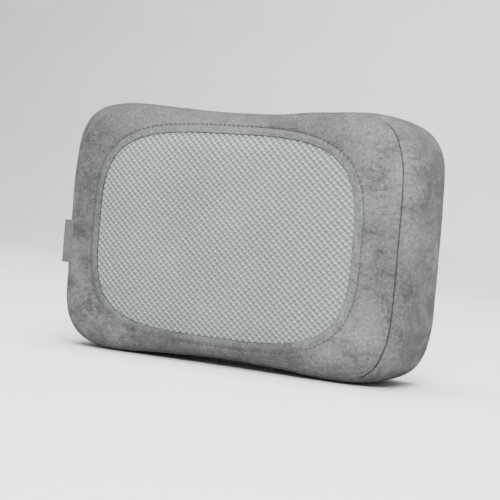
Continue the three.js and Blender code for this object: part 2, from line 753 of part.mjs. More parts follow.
function addMotor() {
  const can = joined(
    rodZ(MOTOR.radius, MOTOR.bottom, MOTOR.top, 0, SHAFT_Y, 36),
    rodZ(MOTOR.bossRadius, MOTOR.top - OVERLAP, MOTOR.bossTop, 0, SHAFT_Y),
  );
  const boreRadius = MOTOR_SHAFT.radius + GAP;
  const bore = rodZ(boreRadius, MOTOR_SHAFT.bottom - GAP, MOTOR.bossTop + OVERLAP, 0, SHAFT_Y, 16);
  add("motor_can", cut(can, bore), LOOKS.can);
  const capTop = MOTOR.bottom - GAP;
  const cap = rodZ(MOTOR_CAP.radius, capTop - MOTOR_CAP.height, capTop, 0, SHAFT_Y, 36);
  add("motor_end_cap", cap, LOOKS.chip);
  const { radius, bottom: shaftBottom, top: shaftTop } = MOTOR_SHAFT;
  add("motor_shaft", rodZ(radius, shaftBottom, shaftTop, 0, SHAFT_Y, 16), LOOKS.steel);
  add("worm", wormSolid(), LOOKS.bronze);

  const { halfWidth, bottom, top, front } = BEARING;
  const block = box(-halfWidth, halfWidth, front, FLOOR_REAR - GAP, bottom, top);
  const through = rodZ(boreRadius, bottom - OVERLAP, top + OVERLAP, 0, SHAFT_Y, 16);
  add("shaft_bearing", cut(block, through), LOOKS.gear);
}

function addWheels() {
  for (const [side, name, phase] of [
    [-1, "left", 0],
    [1, "right", 0.5],
  ]) {
    const wheel = helicalGear(WHEEL_TEETH, phase, WHEEL_FACE);
    const pinion = prismY(gearOutline(PINION_TEETH, 0), PINION_FACE.front, PINION_FACE.rear);
    const bore = rodY(PIN.radius + GAP, PINION_FACE.front - OVERLAP, WHEEL_FACE.rear + OVERLAP, 0, 0, 16);
    const gears = cut(joined(wheel, pinion), bore);
    add(`worm_wheel_${name}`, gears.translate([side * WHEEL_X, 0, 0]), LOOKS.gear);
    add(`wheel_pin_${name}`, rodY(PIN.radius, PIN.front, PIN.rear, side * WHEEL_X, 0, 16), LOOKS.steel);
  }
}

// A massage node: a dome on a skirt, with a blind bore for its post.
function nodeSolid(front) {
  const { radius, rear, bore, wall } = NODE;
  const height = rear - front;
  const points = [new THREE.Vector2(0, front)];
  for (const share of DOME_STEPS) {
    const angle = (share * Math.PI) / 2;
    const rise = NODE_SKIRT + (1 - NODE_SKIRT) * Math.cos(angle);
    points.push(new THREE.Vector2(radius * Math.sin(angle), rear - height * rise));
  }
  points.push(new THREE.Vector2(radius, rear));
  points.push(new THREE.Vector2(radius - wall, rear));
  points.push(new THREE.Vector2(radius - wall, rear - height * NODE_HOLLOW.atWall));
  points.push(new THREE.Vector2(bore + wall, rear - height * NODE_HOLLOW.atBore));
  points.push(new THREE.Vector2(bore + wall, rear));
  points.push(new THREE.Vector2(bore, rear));
  points.push(new THREE.Vector2(bore, POST.front - GAP));
  points.push(new THREE.Vector2(0, POST.front - GAP));
  return solid(new THREE.LatheGeometry(points, 20));
}

function addHeads() {
  for (const [side, name] of [
    [-1, "left"],
    [1, "right"],
  ]) {
    const x = side * HEAD_X;
    const gear = prismY(gearOutline(OUTPUT_TEETH, 0.5), OUTPUT_FACE.front, OUTPUT_FACE.rear);
    const hub = rodY(GEAR_HUB.radius, OUTPUT_FACE.front, GEAR_HUB.rear, 0, 0);
    const shaftBore = rodY(OUTPUT_SHAFT.radius + GAP, BUSH.front - OVERLAP, GEAR_HUB.rear + OVERLAP, 0, 0);
    add(`output_gear_${name}`, cut(joined(gear, hub), shaftBore).translate([x, 0, 0]), LOOKS.gear);

    const screwHole = CARRIER_SCREW.radius + GAP;
    const tapped = rodY(screwHole, OUTPUT_SHAFT.front - OVERLAP, CARRIER_SCREW.end + GAP, 0, 0, 12);
    const shaft = cut(rodY(OUTPUT_SHAFT.radius, OUTPUT_SHAFT.front, OUTPUT_SHAFT.rear, 0, 0), tapped);
    add(`output_shaft_${name}`, shaft.translate([x, 0, 0]), LOOKS.steel);

    const bush = cut(rodY(BUSH.radius, BUSH.front, BUSH.rear, 0, 0), shaftBore);
    add(`shaft_bush_${name}`, bush.translate([x, 0, 0]), LOOKS.bronze);

    const arm = roundedRectangle(
      -CARRIER.armHalfWidth,
      CARRIER.armHalfWidth,
      -POST.distance - CARRIER.armHalfWidth,
      POST.distance + CARRIER.armHalfWidth,
      CARRIER.armHalfWidth - 0.1,
    );
    const carrier = joined(
      rodY(CARRIER.hubRadius, CARRIER.front, CARRIER.rear, 0, 0),
      prismY(arm, CARRIER.front, CARRIER.armRear),
      rodY(POST.radius, POST.front, CARRIER.armRear, 0, POST.distance),
      rodY(POST.radius, POST.front, CARRIER.armRear, 0, -POST.distance),
    );
    const socketRear = CARRIER.rear + OVERLAP;
    const socket = rodY(OUTPUT_SHAFT.radius + GAP, OUTPUT_SHAFT.front - GAP, socketRear, 0, 0);
    const clear = rodY(screwHole, CARRIER.front - OVERLAP, CARRIER.rear, 0, 0, 12);
    add(`node_carrier_${name}`, cut(carrier, socket, clear).translate([x, 0, 0]), LOOKS.carrier);

    const headRear = CARRIER.front - GAP;
    const screw = joined(
      rodY(CARRIER_SCREW.headRadius, headRear - CARRIER_SCREW.head, headRear, 0, 0, 16),
      rodY(CARRIER_SCREW.radius, headRear - OVERLAP, CARRIER_SCREW.end, 0, 0, 12),
    );
    add(`carrier_screw_${name}`, screw.translate([x, 0, 0]), LOOKS.steel);

    const tall = nodeSolid(NODE.tallFront).translate([x, 0, POST.distance]);
    add(`massage_node_${name}_top`, tall, LOOKS.node);
    const low = nodeSolid(NODE.lowFront).translate([x, 0, -POST.distance]);
    add(`massage_node_${name}_bottom`, low, LOOKS.node);
  }
}

// A component on the front of the circuit board.
function boardComponent({ left, right, bottom, top, height }) {
  const rear = BOARD.front - GAP;
  return box(left, right, rear - height, rear, bottom, top);
}

function addElectronics() {
  const { radius, inner, outer, y, z } = CELL;
  add("battery_cell_left", rodX(radius, -outer, -inner, y, z, 28), LOOKS.cell);
  add("battery_cell_right", rodX(radius, inner, outer, y, z, 28), LOOKS.cell);
  const { halfWidth, bottom, top, rear, front } = BOARD;
  add("circuit_board", box(-halfWidth, halfWidth, front, rear, bottom, top), LOOKS.board);
  add("board_chip", boardComponent(CHIP), LOOKS.chip);
  add("board_connector", boardComponent(CONNECTOR), LOOKS.gear);
}

addCover();
addPadding();
addZip();
addControls();
addHousing();
addMotor();
addWheels();
addHeads();
addElectronics();
addCables();

export default part;
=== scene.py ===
"""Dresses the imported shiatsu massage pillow.

It adds the velour cover, the knitted mesh window, seams, stitches, zip and the controls' details.
"""

import json
import math

import bmesh
import bpy
import numpy as np
from mathutils import Matrix, Vector, noise


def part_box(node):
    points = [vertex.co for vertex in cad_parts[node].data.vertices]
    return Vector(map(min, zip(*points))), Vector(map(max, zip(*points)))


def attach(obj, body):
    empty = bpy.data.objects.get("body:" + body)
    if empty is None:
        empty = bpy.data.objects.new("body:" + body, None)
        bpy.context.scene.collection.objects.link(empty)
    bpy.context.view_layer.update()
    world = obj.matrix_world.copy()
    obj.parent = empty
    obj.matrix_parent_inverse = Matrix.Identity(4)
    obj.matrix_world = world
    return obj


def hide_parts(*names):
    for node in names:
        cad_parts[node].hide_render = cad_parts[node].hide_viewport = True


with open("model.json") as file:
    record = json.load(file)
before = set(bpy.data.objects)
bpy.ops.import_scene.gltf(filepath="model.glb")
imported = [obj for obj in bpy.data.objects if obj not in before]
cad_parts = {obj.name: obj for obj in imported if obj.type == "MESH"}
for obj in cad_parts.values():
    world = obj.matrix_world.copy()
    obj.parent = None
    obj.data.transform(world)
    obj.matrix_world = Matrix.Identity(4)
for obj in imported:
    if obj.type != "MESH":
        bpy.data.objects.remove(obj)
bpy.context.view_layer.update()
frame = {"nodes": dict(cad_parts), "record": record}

MM = 0.001
TINY = 0.001 * MM
TURN = 2 * math.pi
LEFTWARD = (-1, 0, 0)
FORWARD = (0, -1, 0)

# The resting form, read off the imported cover
BAND_LOW, BAND_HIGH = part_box("side_band")
PANEL_LOW, PANEL_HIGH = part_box("mesh_panel")
REAR_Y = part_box("rear_cover")[1].y
HALF_WIDTH = (BAND_HIGH.x - BAND_LOW.x) / 2
MIDDLE_Y = (BAND_HIGH.y + BAND_LOW.y) / 2
HALF_THICKNESS = MIDDLE_Y - PANEL_LOW.y
WAIST_HALF_HEIGHT = 0.9583 * BAND_HIGH.z
LOBE_RISE = 0.0855 * BAND_HIGH.z
BASE_Z = BAND_LOW.z
PANEL_HALF_WIDTH = PANEL_HIGH.x
PANEL_HALF_HEIGHT = PANEL_HIGH.z
OUTLINE_POWER = 5.8
SECTION_POWER = 5
PANEL_POWER = 3.6
SEAM_RISE = (BAND_HIGH.y - MIDDLE_Y) / HALF_THICKNESS
SEAM_SHARE = (1 - SEAM_RISE**SECTION_POWER) ** (1 / SECTION_POWER)
SEAM_SHIFT = 0.11

# Spacer mesh: the knit repeats along two directions of the panel's plane, in cycles per metre
KNIT_ACROSS = (137.0, 147.0)
KNIT_ALONG = (137.5, -169.0)
KNIT_STRAND = (2 * KNIT_ACROSS[0] - KNIT_ALONG[0], 2 * KNIT_ACROSS[1] - KNIT_ALONG[1])
KNIT_STRAND_LAG = 0.08
KNIT_HEIGHT = 0.75 * MM
KNIT_GRID = 0.8 * MM
KNIT_CALM = 3 * MM
PANEL_SINK = 0.9 * MM
PANEL_SINK_WIDTH = 9 * MM
PANEL_UNDER_HEM = 2.5 * MM

# Hem round the window, and its topstitch
HEM_RAISE = 0.5 * MM
HEM_LIP = 1.3 * MM
HEM_FADE = 18 * MM
HEM_CREASE = 0.5 * MM
STITCH_OFFSET = 9.0 * MM
STITCH_PITCH = 5.2 * MM
STITCH_LENGTH = 3.6 * MM
STITCH_SHARE = np.linspace(-0.5, 0.5, 7)
STITCH_ARCH = (0.58 - 3.6 * STITCH_SHARE**2) * MM
THREAD_RADIUS = 0.45 * MM
TUBE_TAPER = 0.6

# The hem's section: the centre, height and width of each wave, and the depth and reach of its turned edge
HEM_WAVES = (
    (STITCH_OFFSET, -0.75 * MM, 1.5 * MM),
    (STITCH_OFFSET / 2, 0.3 * MM, 2.6 * MM),
    (STITCH_OFFSET + 5 * MM, 0.3 * MM, 3.5 * MM),
)
HEM_TURNS = ((1.1 * MM, 1.5 * MM), (0.5 * MM, 0))

# Side tab
TAB_CLOTH = 0.32 * MM
TAB_MARGIN = 0.18 * MM
TAB_WAVE, TAB_WAVE_LENGTH = 0.12 * MM, 9 * MM
TAB_STITCH_INSET = 8 * MM

# Zip, laid on the sloping lower part of the rear; its axes are along, out of the cover, and up the slope.
# The tape's section is given as shares of its half width and of its thickness
ZIP_Z = -108 * MM
ZIP_TILT = math.radians(22)
ZIP_OUT = np.array([0, math.cos(ZIP_TILT), -math.sin(ZIP_TILT)])
ZIP_UP = np.array([0, math.sin(ZIP_TILT), math.cos(ZIP_TILT)])
ZIP_HALF_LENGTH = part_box("zip_tape")[1].x
ZIP_HALF_WIDTH = 7 * MM
ZIP_TAPE_LOW, ZIP_TAPE_HIGH = -2.4 * MM, -1.4 * MM
ZIP_RIPPLE = 0.06 * MM
ZIP_SECTION = ((-1, 0), (-0.97, 1), (-0.6, 0.92), (-0.3, 1), (0.3, 1), (0.6, 0.92), (0.97, 1), (1, 0))
COIL_PITCH = 1.5 * MM
COIL_HALF_WIDTH = 2.2 * MM
COIL_HEIGHT = 0.9 * MM
COIL_LEAN = 0.35 * MM
COIL_RADIUS = 0.42 * MM
COIL_END = 5 * MM
STOP_END = 2.6 * MM
STOP_HALF_WIDTH = 2.4 * MM
STOP_RADIUS = 0.85 * MM
STOP_RAISE = 0.55 * MM
ZIP_STITCH_OFFSET = 5.2 * MM
ZIP_STITCH_SINK = 0.1 * MM

# The zip's slot; each turn of its edge goes deeper by the first number and outwards by the second
SLOT_HALF_WIDTH = 5.7 * MM
SLOT_NEAR = 8 * MM
SLOT_FLAT = 6.5 * MM
SLOT_FADE = 9 * MM
SLOT_CALM = 14 * MM
SLOT_TURNS = ((0.7 * MM, -0.35 * MM), (1.3 * MM, 0.8 * MM))
SLOT_LIP, SLOT_LIP_WIDTH = 0.35 * MM, 2 * MM
SLOT_GROOVE, SLOT_GROOVE_WIDTH = 0.45 * MM, 1.1 * MM
SLOT_CREASE = 0.6 * MM

# Controls, in the left side
CONTROL_LOW, CONTROL_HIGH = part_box("control_bezel")
CONTROL_CORNER = 9 * MM
BEZEL_LAP = 1.2 * MM
BEZEL_TUCK = 3 * MM
BEZEL_TUCK_START = 0.3 * MM
BEZEL_TUCK_WIDTH = 2 * MM
BEZEL_DIP = 0.5 * MM
BEZEL_DIP_WIDTH = 3 * MM
BESIDE_SPREAD = 1.3 * CONTROL_HIGH.z / HALF_WIDTH
BESIDE_COLUMNS = 120
MARK_RADIUS = 0.32 * MM
MARK_RAISE = 0.12 * MM
MARK_REACH = 2.9 * MM
POWER_GAP = math.radians(35)
POWER_BAR = (0.3 * MM, 3.7 * MM)
WAVE_HEIGHT, WAVE_LENGTH, WAVE_PITCH = 0.55 * MM, MM / 2.1, 2.1 * MM

# The socket's moulding; its blocks in mm: near and far depth inside the mouth, half width and half height
SOCKET_EDGE = 0.1 * MM
SOCKET_BLOCKS = ((5.6, 6.9, 3.9, 1.75), (1.4, 6.0, 3.2, 0.4))

# Heating wire, on the felt
WIRE_RADIUS = 0.4 * MM
WIRE_DEPTH = 0.25 * MM
WIRE_WANDER = 1.2 * MM

# Seams, the size and height of lumps, and the stuffing
SEAM_DEPTH = 1.7 * MM
SEAM_REACH = 0.85 * MM
TUCKS = (2.5 * MM, 5 * MM)
VELOUR_LUMPS = ((38 * MM, 0.9 * MM), (9 * MM, 0.16 * MM))
FOAM_LUMPS = (14 * MM, 0.35 * MM)
FOAM_INSET = 0.4 * MM
CALM_WIDTH = 12 * MM
SOFT_COLUMNS = 150
SOFT_FRAMES = 20
SOFT_LIMIT = 3.0 * MM
SOFT_ROUNDING = 0.5 * MM
POLE_SHARE = 0.04
FINE_COLUMNS = 720
REAR_COLUMNS = 600


# The form


def unit(vectors):
    return vectors / np.maximum(np.linalg.norm(vectors, axis=-1, keepdims=True), 1e-12)


def smoothstep(value):
    share = np.clip(value, 0, 1)
    return share**2 * (3 - 2 * share)


def distances_along(x, z):
    """Distance of each point of a run from its first."""
    return np.append(0, np.cumsum(np.hypot(np.diff(x), np.diff(z))))


def signed_power(value, power):
    return np.sign(value) * np.abs(value) ** power


def spread_angles(count):
    """Angles that spread a superellipse's points evenly, with none crowded into the corners."""
    turn = np.linspace(0, TURN, count)
    return turn - 0.24 * np.sin(4 * turn)


def superellipse(count, half_x, half_z, power):
    """Points round a superellipse, without its first point again at the end."""
    angle = spread_angles(count + 1)[:-1]
    x = half_x * signed_power(np.cos(angle), 2 / power)
    return x, half_z * signed_power(np.sin(angle), 2 / power)


def polar_table(x, z):
    theta = np.arctan2(z, x) % TURN
    order = np.argsort(theta)
    return theta[order], np.hypot(x, z)[order]


def outline_table():
    """The outline: a superellipse whose half height dips at the waist between two lobes."""
    x, z = superellipse(20000, HALF_WIDTH, 1, OUTLINE_POWER)
    share = (x / HALF_WIDTH) ** 2
    return polar_table(x, z * (WAIST_HALF_HEIGHT + LOBE_RISE * (2 * share - share**2)))


def panel_curve(count, grow=0.0):
    """Points of the window's edge in the panel's plane, moved outwards by grow."""
    x, z = superellipse(count, PANEL_HALF_WIDTH, PANEL_HALF_HEIGHT, PANEL_POWER)
    along = unit(np.stack([np.roll(x, -1) - np.roll(x, 1), np.roll(z, -1) - np.roll(z, 1)], axis=-1))
    return x + along[:, 1] * grow, z - along[:, 0] * grow


OUTLINE = outline_table()
PANEL_EDGE = polar_table(*panel_curve(8000))


def outline_radius(theta):
    return np.interp(theta % TURN, *OUTLINE, period=TURN)


def panel_radius(theta):
    return np.interp(theta % TURN, *PANEL_EDGE, period=TURN)


def section_rise(share):
    return (1 - np.clip(share, 0, 1) ** SECTION_POWER) ** (1 / SECTION_POWER)


def face_point(theta, radius, side):
    """A point of the front (side -1) or rear (side 1) face."""
    y = MIDDLE_Y + side * HALF_THICKNESS * section_rise(radius / outline_radius(theta))
    z = np.maximum(radius * np.sin(theta), BASE_Z)
    return np.stack([radius * np.cos(theta), np.minimum(y, REAR_Y), z], axis=-1)


def front_seam_rise(theta):
    """The front seam lies a little further back along the top and the base than round the sides."""
    return SEAM_RISE - SEAM_SHIFT * smoothstep((np.abs(np.sin(theta)) - 0.46) / 0.24)


def window_point(theta, v):
    return face_point(theta, v * panel_radius(theta), -1)


def front_point(theta, v):
    inner = panel_radius(theta)
    outer = section_rise(front_seam_rise(theta)) * outline_radius(theta)
    return face_point(theta, inner + (outer - inner) * v, -1)


def band_point(theta, v):
    rise = SEAM_RISE * v - front_seam_rise(theta) * (1 - v)
    radius = outline_radius(theta) * section_rise(np.abs(rise))
    z = np.maximum(radius * np.sin(theta), BASE_Z)
    return np.stack([radius * np.cos(theta), MIDDLE_Y + HALF_THICKNESS * rise, z], axis=-1)


def rear_point(theta, v):
    return face_point(theta, SEAM_SHARE * outline_radius(theta) * (1 - v), 1)


def even_thetas(count):
    """Polar angles evenly spaced along the seam."""
    theta = np.linspace(0, TURN, 8001)
    radius = outline_radius(theta)
    length = distances_along(radius * np.cos(theta), radius * np.sin(theta))
    return np.interp(np.linspace(0, length[-1], count + 1)[:-1], length, theta)


def dense_ends(count):
    """Shares from 0 to 1, closer together at both ends."""
    w = np.linspace(0, 1, count)
    return w - 0.11 * np.sin(TURN * w)


def grid_normals(points):
    """Outward normals of a grid closed in its columns."""
    across = np.gradient(points, axis=0)
    around = np.roll(points, -1, axis=1) - np.roll(points, 1, axis=1)
    normal = unit(np.cross(across, around))
    outward = points - np.array([0, MIDDLE_Y, 0])
    return normal * np.sign(np.median((normal * outward).sum(axis=-1)))


# The stuffing's push, from a cloth simulation

# Blocks of the simulated skin and the shares of their rows; each starts on the last row of the one before
SOFT_BLOCKS = (
    (window_point, np.linspace(POLE_SHARE, 1, 20)),
    (front_point, np.linspace(0, 1, 9)),
    (band_point, np.linspace(0, 1, 15)),
    (rear_point, np.linspace(0, 1 - POLE_SHARE, 20)),
)
SOFT_STARTS = np.cumsum([0] + [len(shares) - 1 for _, shares in SOFT_BLOCKS])
SOFT_SHAPE = (SOFT_STARTS[-1] + 1, SOFT_COLUMNS, 3)
SOFT_THETAS = even_thetas(SOFT_COLUMNS)


def grid_faces(rows, columns, offset=0, wrap=True):
    faces = []
    for start in range(offset, offset + (rows - 1) * columns, columns):
        for column in range(columns if wrap else columns - 1):
            a = start + column
            b = start + (column + 1) % columns
            faces.append((a, b, b + columns, a + columns))
    return faces


def closed_faces(rows, columns, offset=0):
    """Faces of a grid closed in its columns, with its two open ends filled."""
    last = offset + (rows - 1) * columns
    first_cap = tuple(reversed(range(offset, offset + columns)))
    return grid_faces(rows, columns, offset) + [first_cap, tuple(range(last, last + columns))]


def linked(name, data):
    obj = bpy.data.objects.new(name, data)
    bpy.context.scene.collection.objects.link(obj)
    return obj


def simulate_stuffing():
    """Blows a closed skin out against its seams and returns how far each of its points swelled."""
    rows = [window_point(SOFT_THETAS, POLE_SHARE)]
    for point, shares in SOFT_BLOCKS:
        rows += [point(SOFT_THETAS, share) for share in shares[1:]]
    points = np.array(rows)
    mesh = bpy.data.meshes.new("stuffing")
    mesh.from_pydata(points.reshape(-1, 3).tolist(), [], closed_faces(*SOFT_SHAPE[:2]))
    skin = linked("stuffing", mesh)

    group = skin.vertex_groups.new(name="held")
    for row in SOFT_STARTS[1:-1]:
        ring = range(row * SOFT_COLUMNS, (row + 1) * SOFT_COLUMNS)
        group.add(list(ring), 1.0, "REPLACE")

    cloth = skin.modifiers.new("cloth", "CLOTH")
    settings = cloth.settings
    settings.quality = 6
    settings.mass = 0.3
    settings.tension_stiffness = 25
    settings.compression_stiffness = 25
    settings.bending_stiffness = 2
    settings.use_pressure = True
    settings.uniform_pressure_force = 4
    settings.vertex_group_mass = "held"
    settings.effector_weights.gravity = 0
    cloth.collision_settings.use_collision = False
    for number in range(1, SOFT_FRAMES + 1):
        bpy.context.scene.frame_set(number)
    evaluated = skin.evaluated_get(bpy.context.evaluated_depsgraph_get())
    moved = np.reshape([v.co for v in evaluated.data.vertices], SOFT_SHAPE) - points
    bpy.data.objects.remove(skin)
    bpy.context.scene.frame_set(1)

    normals = grid_normals(points)
    outward = (moved * normals).sum(axis=-1, keepdims=True)
    swell = (outward + np.hypot(outward, SOFT_ROUNDING)) / 2
    return normals * SOFT_LIMIT * np.tanh(swell / SOFT_LIMIT)


PUSH = simulate_stuffing()


def pushed(block, theta, v):
    """The push at polar angle theta and share v of a block, interpolated."""
    shares = SOFT_BLOCKS[block][1]
    column = np.interp(theta % TURN, np.append(SOFT_THETAS, TURN), np.arange(SOFT_COLUMNS + 1))
    row = np.interp(v, shares, SOFT_STARTS[block] + np.arange(len(shares)))
    c0 = np.floor(column).astype(int)
    r0 = np.minimum(np.floor(row).astype(int), SOFT_STARTS[block + 1] - 1)
    cf = (column - c0)[..., None]
    rf = (row - r0)[..., None]
    c1 = (c0 + 1) % SOFT_COLUMNS
    c0 = c0 % SOFT_COLUMNS
    low = PUSH[r0, c0] * (1 - cf) + PUSH[r0, c1] * cf
    high = PUSH[r0 + 1, c0] * (1 - cf) + PUSH[r0 + 1, c1] * cf
    return low * (1 - rf) + high * rf


# Mesh building


def rows_length(points):
    """Distance of each row from the first, along the columns."""
    steps = np.linalg.norm(np.diff(points, axis=0), axis=-1)
    return np.concatenate([np.zeros((1, points.shape[1])), np.cumsum(steps, axis=0)])


def make_object(name, vertices, faces, attributes=None):
    mesh = bpy.data.meshes.new(name)
    mesh.from_pydata(np.reshape(vertices, (-1, 3)).tolist(), [], faces)
    for key, values in (attributes or {}).items():
        layer = mesh.attributes.new(key, "FLOAT", "POINT")
        layer.data.foreach_set("value", np.asarray(values, np.float32).ravel())
    mesh.polygons.foreach_set("use_smooth", np.ones(len(mesh.polygons), bool))
    return linked(name, mesh)


def place(obj, look, slot, *nodes, body="pillow"):
    """Gives a piece its look and body, and hides the CAD nodes it stands for."""
    obj.data.materials.clear()
    obj.data.materials.append(look)
    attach(obj, body)
    if nodes:
        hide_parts(*nodes)


def orient_outward(points, faces):
    """The faces, all turned over if the one in the middle of the list looks inwards."""
    flat = points.reshape(-1, 3)
    a, b, c = (flat[i] for i in faces[len(faces) // 2][:3])
    normal = np.cross(b - a, c - a)
    if normal @ (a - np.array([0, MIDDLE_Y, 0])) < 0:
        return [tuple(reversed(face)) for face in faces]
    return faces


def bell(distance, width):
    return np.exp(-((distance / width) ** 2))


def undulation(points, size, height):
    """Soft lumps of the given size and height, as an offset for each point."""
    flat = points.reshape(-1, 3) / size
    values = np.array([noise.noise(Vector(p)) for p in flat.tolist()])
    return (height * values).reshape(points.shape[:-1])


def velour_offsets(points):
    return sum(undulation(points, size, height) for size, height in VELOUR_LUMPS)


def tucked(points, normals, first):
    """Adds two rows past an edge, turned down into the seam."""
    edge = points[0] if first else points[-1]
    down = normals[0] if first else normals[-1]
    rows = [edge - down * depth for depth in TUCKS]
    return np.concatenate([rows[::-1], points]) if first else np.concatenate([points, rows])


def with_ends(values, before, after):
    """Rows of values with rows of 1 added before and after them."""
    return np.pad(values, ((before, after), (0, 0)), constant_values=1.0)


# Looks

# Turn of the velour's large light and dark areas
DRIFT_TURN = (0.4, 1.7, 1.1)


class Look:
    """A material with a Principled shader, built up from procedural textures in the row frame."""

    def __init__(self, name):
        self.material = bpy.data.materials.new(name)
        self.material.use_nodes = True
        self.tree = self.material.node_tree
        self.shader = self.tree.nodes["Principled BSDF"]
        self.coords = self.tree.nodes.new("ShaderNodeTexCoord").outputs["Object"]

    def node(self, kind, inputs=(), **settings):
        made = self.tree.nodes.new("ShaderNode" + kind)
        for key, value in settings.items():
            setattr(made, key, value)
        for key, value in dict(inputs).items():
            self.feed(made.inputs[key], value)
        return made

    def feed(self, socket, value):
        if isinstance(value, bpy.types.NodeSocket):
            self.tree.links.new(value, socket)
        else:
            socket.default_value = value

    def set(self, **inputs):
        for key, value in inputs.items():
            self.feed(self.shader.inputs[key.replace("_", " ")], value)

    def math(self, operation, a, b=0.0, clamp=False):
        return self.node("Math", {0: a, 1: b}, operation=operation, use_clamp=clamp).outputs[0]

    def plus(self, a, b):
        return self.math("ADD", a, b)

    def times(self, a, b):
        return self.math("MULTIPLY", a, b)

    def noise(self, scale, detail=3, roughness=0.5, distortion=0.0, vector=None):
        inputs = {"Scale": scale, "Detail": detail, "Roughness": roughness, "Distortion": distortion}
        return self.node("TexNoise", {"Vector": vector or self.coords, **inputs}).outputs["Fac"]

    def streaks(self, scale, turn, detail, roughness=0.5, distortion=0.0):
        """Noise stretched along an axis that is turned first."""
        turned = self.node("Mapping", {"Vector": self.coords, "Scale": scale, "Rotation": turn})
        return self.noise(1.0, detail, roughness, distortion, turned.outputs[0])

    def cells(self, scale, feature="F1"):
        inputs = {"Vector": self.coords, "Scale": scale}
        return self.node("TexVoronoi", inputs, feature=feature).outputs["Distance"]

    def share(self, value, start, end):
        """0 at start, 1 at end, clamped."""
        return self.node("MapRange", {"Value": value, "From Min": start, "From Max": end}).outputs["Result"]

    def wave(self, scale, direction, distortion=0.0):
        inputs = {"Vector": self.coords, "Scale": scale, "Distortion": distortion}
        return self.node("TexWave", inputs, bands_direction=direction).outputs["Fac"]

    def facing(self):
        """0 seen square on, 1 at the silhouette."""
        return self.node("LayerWeight", {"Blend": 0.5}).outputs["Facing"]

    def parts(self, vector):
        """The three numbers of a vector, by axis."""
        return self.node("SeparateXYZ", {0: vector}).outputs

    def attribute(self, name):
        return self.node("Attribute", attribute_name=name).outputs["Fac"]

    def ramp(self, value, *stops):
        """Maps a value to a colour through (position, grey or colour) stops."""
        made = self.node("ValToRGB", {"Fac": value})
        elements = made.color_ramp.elements
        while len(elements) < len(stops):
            elements.new(0.5)
        for element, (position, colour) in zip(elements, stops):
            element.position = position
            element.color = (*colour, 1) if isinstance(colour, tuple) else (colour, colour, colour, 1)
        return made.outputs["Color"]

    def mix(self, share, a, b, blend="MIX"):
        made = self.node("Mix", data_type="RGBA", blend_type=blend)
        self.feed(made.inputs["Factor"], share)
        for socket, value in ((made.inputs["A"], a), (made.inputs["B"], b)):
            self.feed(socket, (*value, 1) if isinstance(value, tuple) else value)
        return made.outputs["Result"]

    def tint(self, colour, shade):
        return self.mix(1.0, colour, shade, "MULTIPLY")

    def bump(self, height, distance, strength=1.0):
        """Adds a bump on top of any bump already there."""
        made = self.node("Bump", {"Height": height, "Distance": distance, "Strength": strength})
        normal = self.shader.inputs["Normal"]
        if normal.is_linked:
            self.feed(made.inputs["Normal"], normal.links[0].from_socket)
        self.feed(normal, made.outputs["Normal"])


def scaled(colour, share):
    return tuple(share * c for c in colour)


def velour_look(light, dark):
    """Short nap: cloudy patches, darker brush strokes gathered in some of them, and a fine speckle.

    It is painted darker on slopes that face up and lighter on those that face down, as painted shade and
    painted light.
    It has painted shade along seams and creases, is smooth on the hem, and has a little painted shade
    towards the silhouette.
    """
    look = Look("velour")
    clouds = look.noise(13, 2, 0.5)
    patches = look.streaks((46, 46, 66), (0, 0.5, 0), 6, 0.7, 0.2)
    strokes = look.streaks((85, 110, 230), (0, 0.45, 0.2), 5, 0.66, 0.35)
    gathered = look.times(look.share(strokes, 0.50, 0.34), look.share(clouds, 0.60, 0.40))
    height = look.plus(look.times(patches, 0.8), look.times(clouds, 0.4))
    height = look.math("SUBTRACT", height, look.times(gathered, 0.22))
    lightness = look.ramp(height, (0.41, 0.0), (0.51, 0.40), (0.61, 0.80), (0.72, 1.0))
    ground = look.mix(lightness, dark, light)
    drift = look.streaks((11, 11, 11), DRIFT_TURN, 1)
    ground = look.tint(ground, look.ramp(drift, (0.38, 0.70), (0.62, 1.12)))
    wisps = look.streaks((150, 190, 520), (0.3, 0.6, 0.2), 4, 0.6, 0.6)
    brushed = look.times(look.share(wisps, 0.50, 0.36), look.share(patches, 0.56, 0.40))
    ground = look.mix(look.times(brushed, 0.55), ground, scaled(dark, 0.8))
    # Painted shade on slopes that face up and painted light on slopes that face down
    slope = look.parts(look.node("NewGeometry").outputs["Normal"])["Z"]
    ground = look.mix(look.times(look.share(slope, 0.0, 0.65), 0.75), ground, dark)
    ground = look.mix(look.times(look.share(slope, -0.05, -0.7), 0.3), ground, light)
    hem = look.attribute("hem")
    inside_stitch = look.share(hem, STITCH_OFFSET, STITCH_OFFSET - MM)
    on_hem = look.times(look.share(hem, 0.0, MM), inside_stitch)
    ground = look.mix(look.times(on_hem, 0.4), ground, scaled(light, 0.85))
    speckle = look.ramp(look.noise(340, 4, 0.75), (0.32, 0.62), (0.68, 1.34))
    fibres = look.streaks((260, 260, 1100), (0, 0.4, 0), 3, 0.7)
    colour = look.tint(look.tint(ground, speckle), look.ramp(fibres, (0.3, 0.80), (0.7, 1.18)))
    # Painted shade towards the silhouette, stronger in the darker patches
    grazing = look.math("POWER", look.facing(), 2.2)
    blotchy = look.plus(0.5, look.share(patches, 0.58, 0.40))
    painted_edge_shade = look.math("MULTIPLY", grazing, blotchy, clamp=True)
    colour = look.mix(painted_edge_shade, colour, scaled(dark, 0.75))
    # Painted shade along seams and creases, from the seam attribute
    painted_seam_shade = look.share(look.attribute("seam"), 0.35, 1.0)
    colour = look.mix(look.times(painted_seam_shade, 0.75), colour, (0.03, 0.03, 0.033))
    look.set(Base_Color=colour, Roughness=0.94, Specular_IOR_Level=0.08)
    look.set(Sheen_Weight=0.08, Sheen_Roughness=0.5)
    look.bump(height, 1.6 * MM, 0.5)
    look.bump(look.noise(700, 3, 0.65), 0.5 * MM, 0.8)
    return look.material


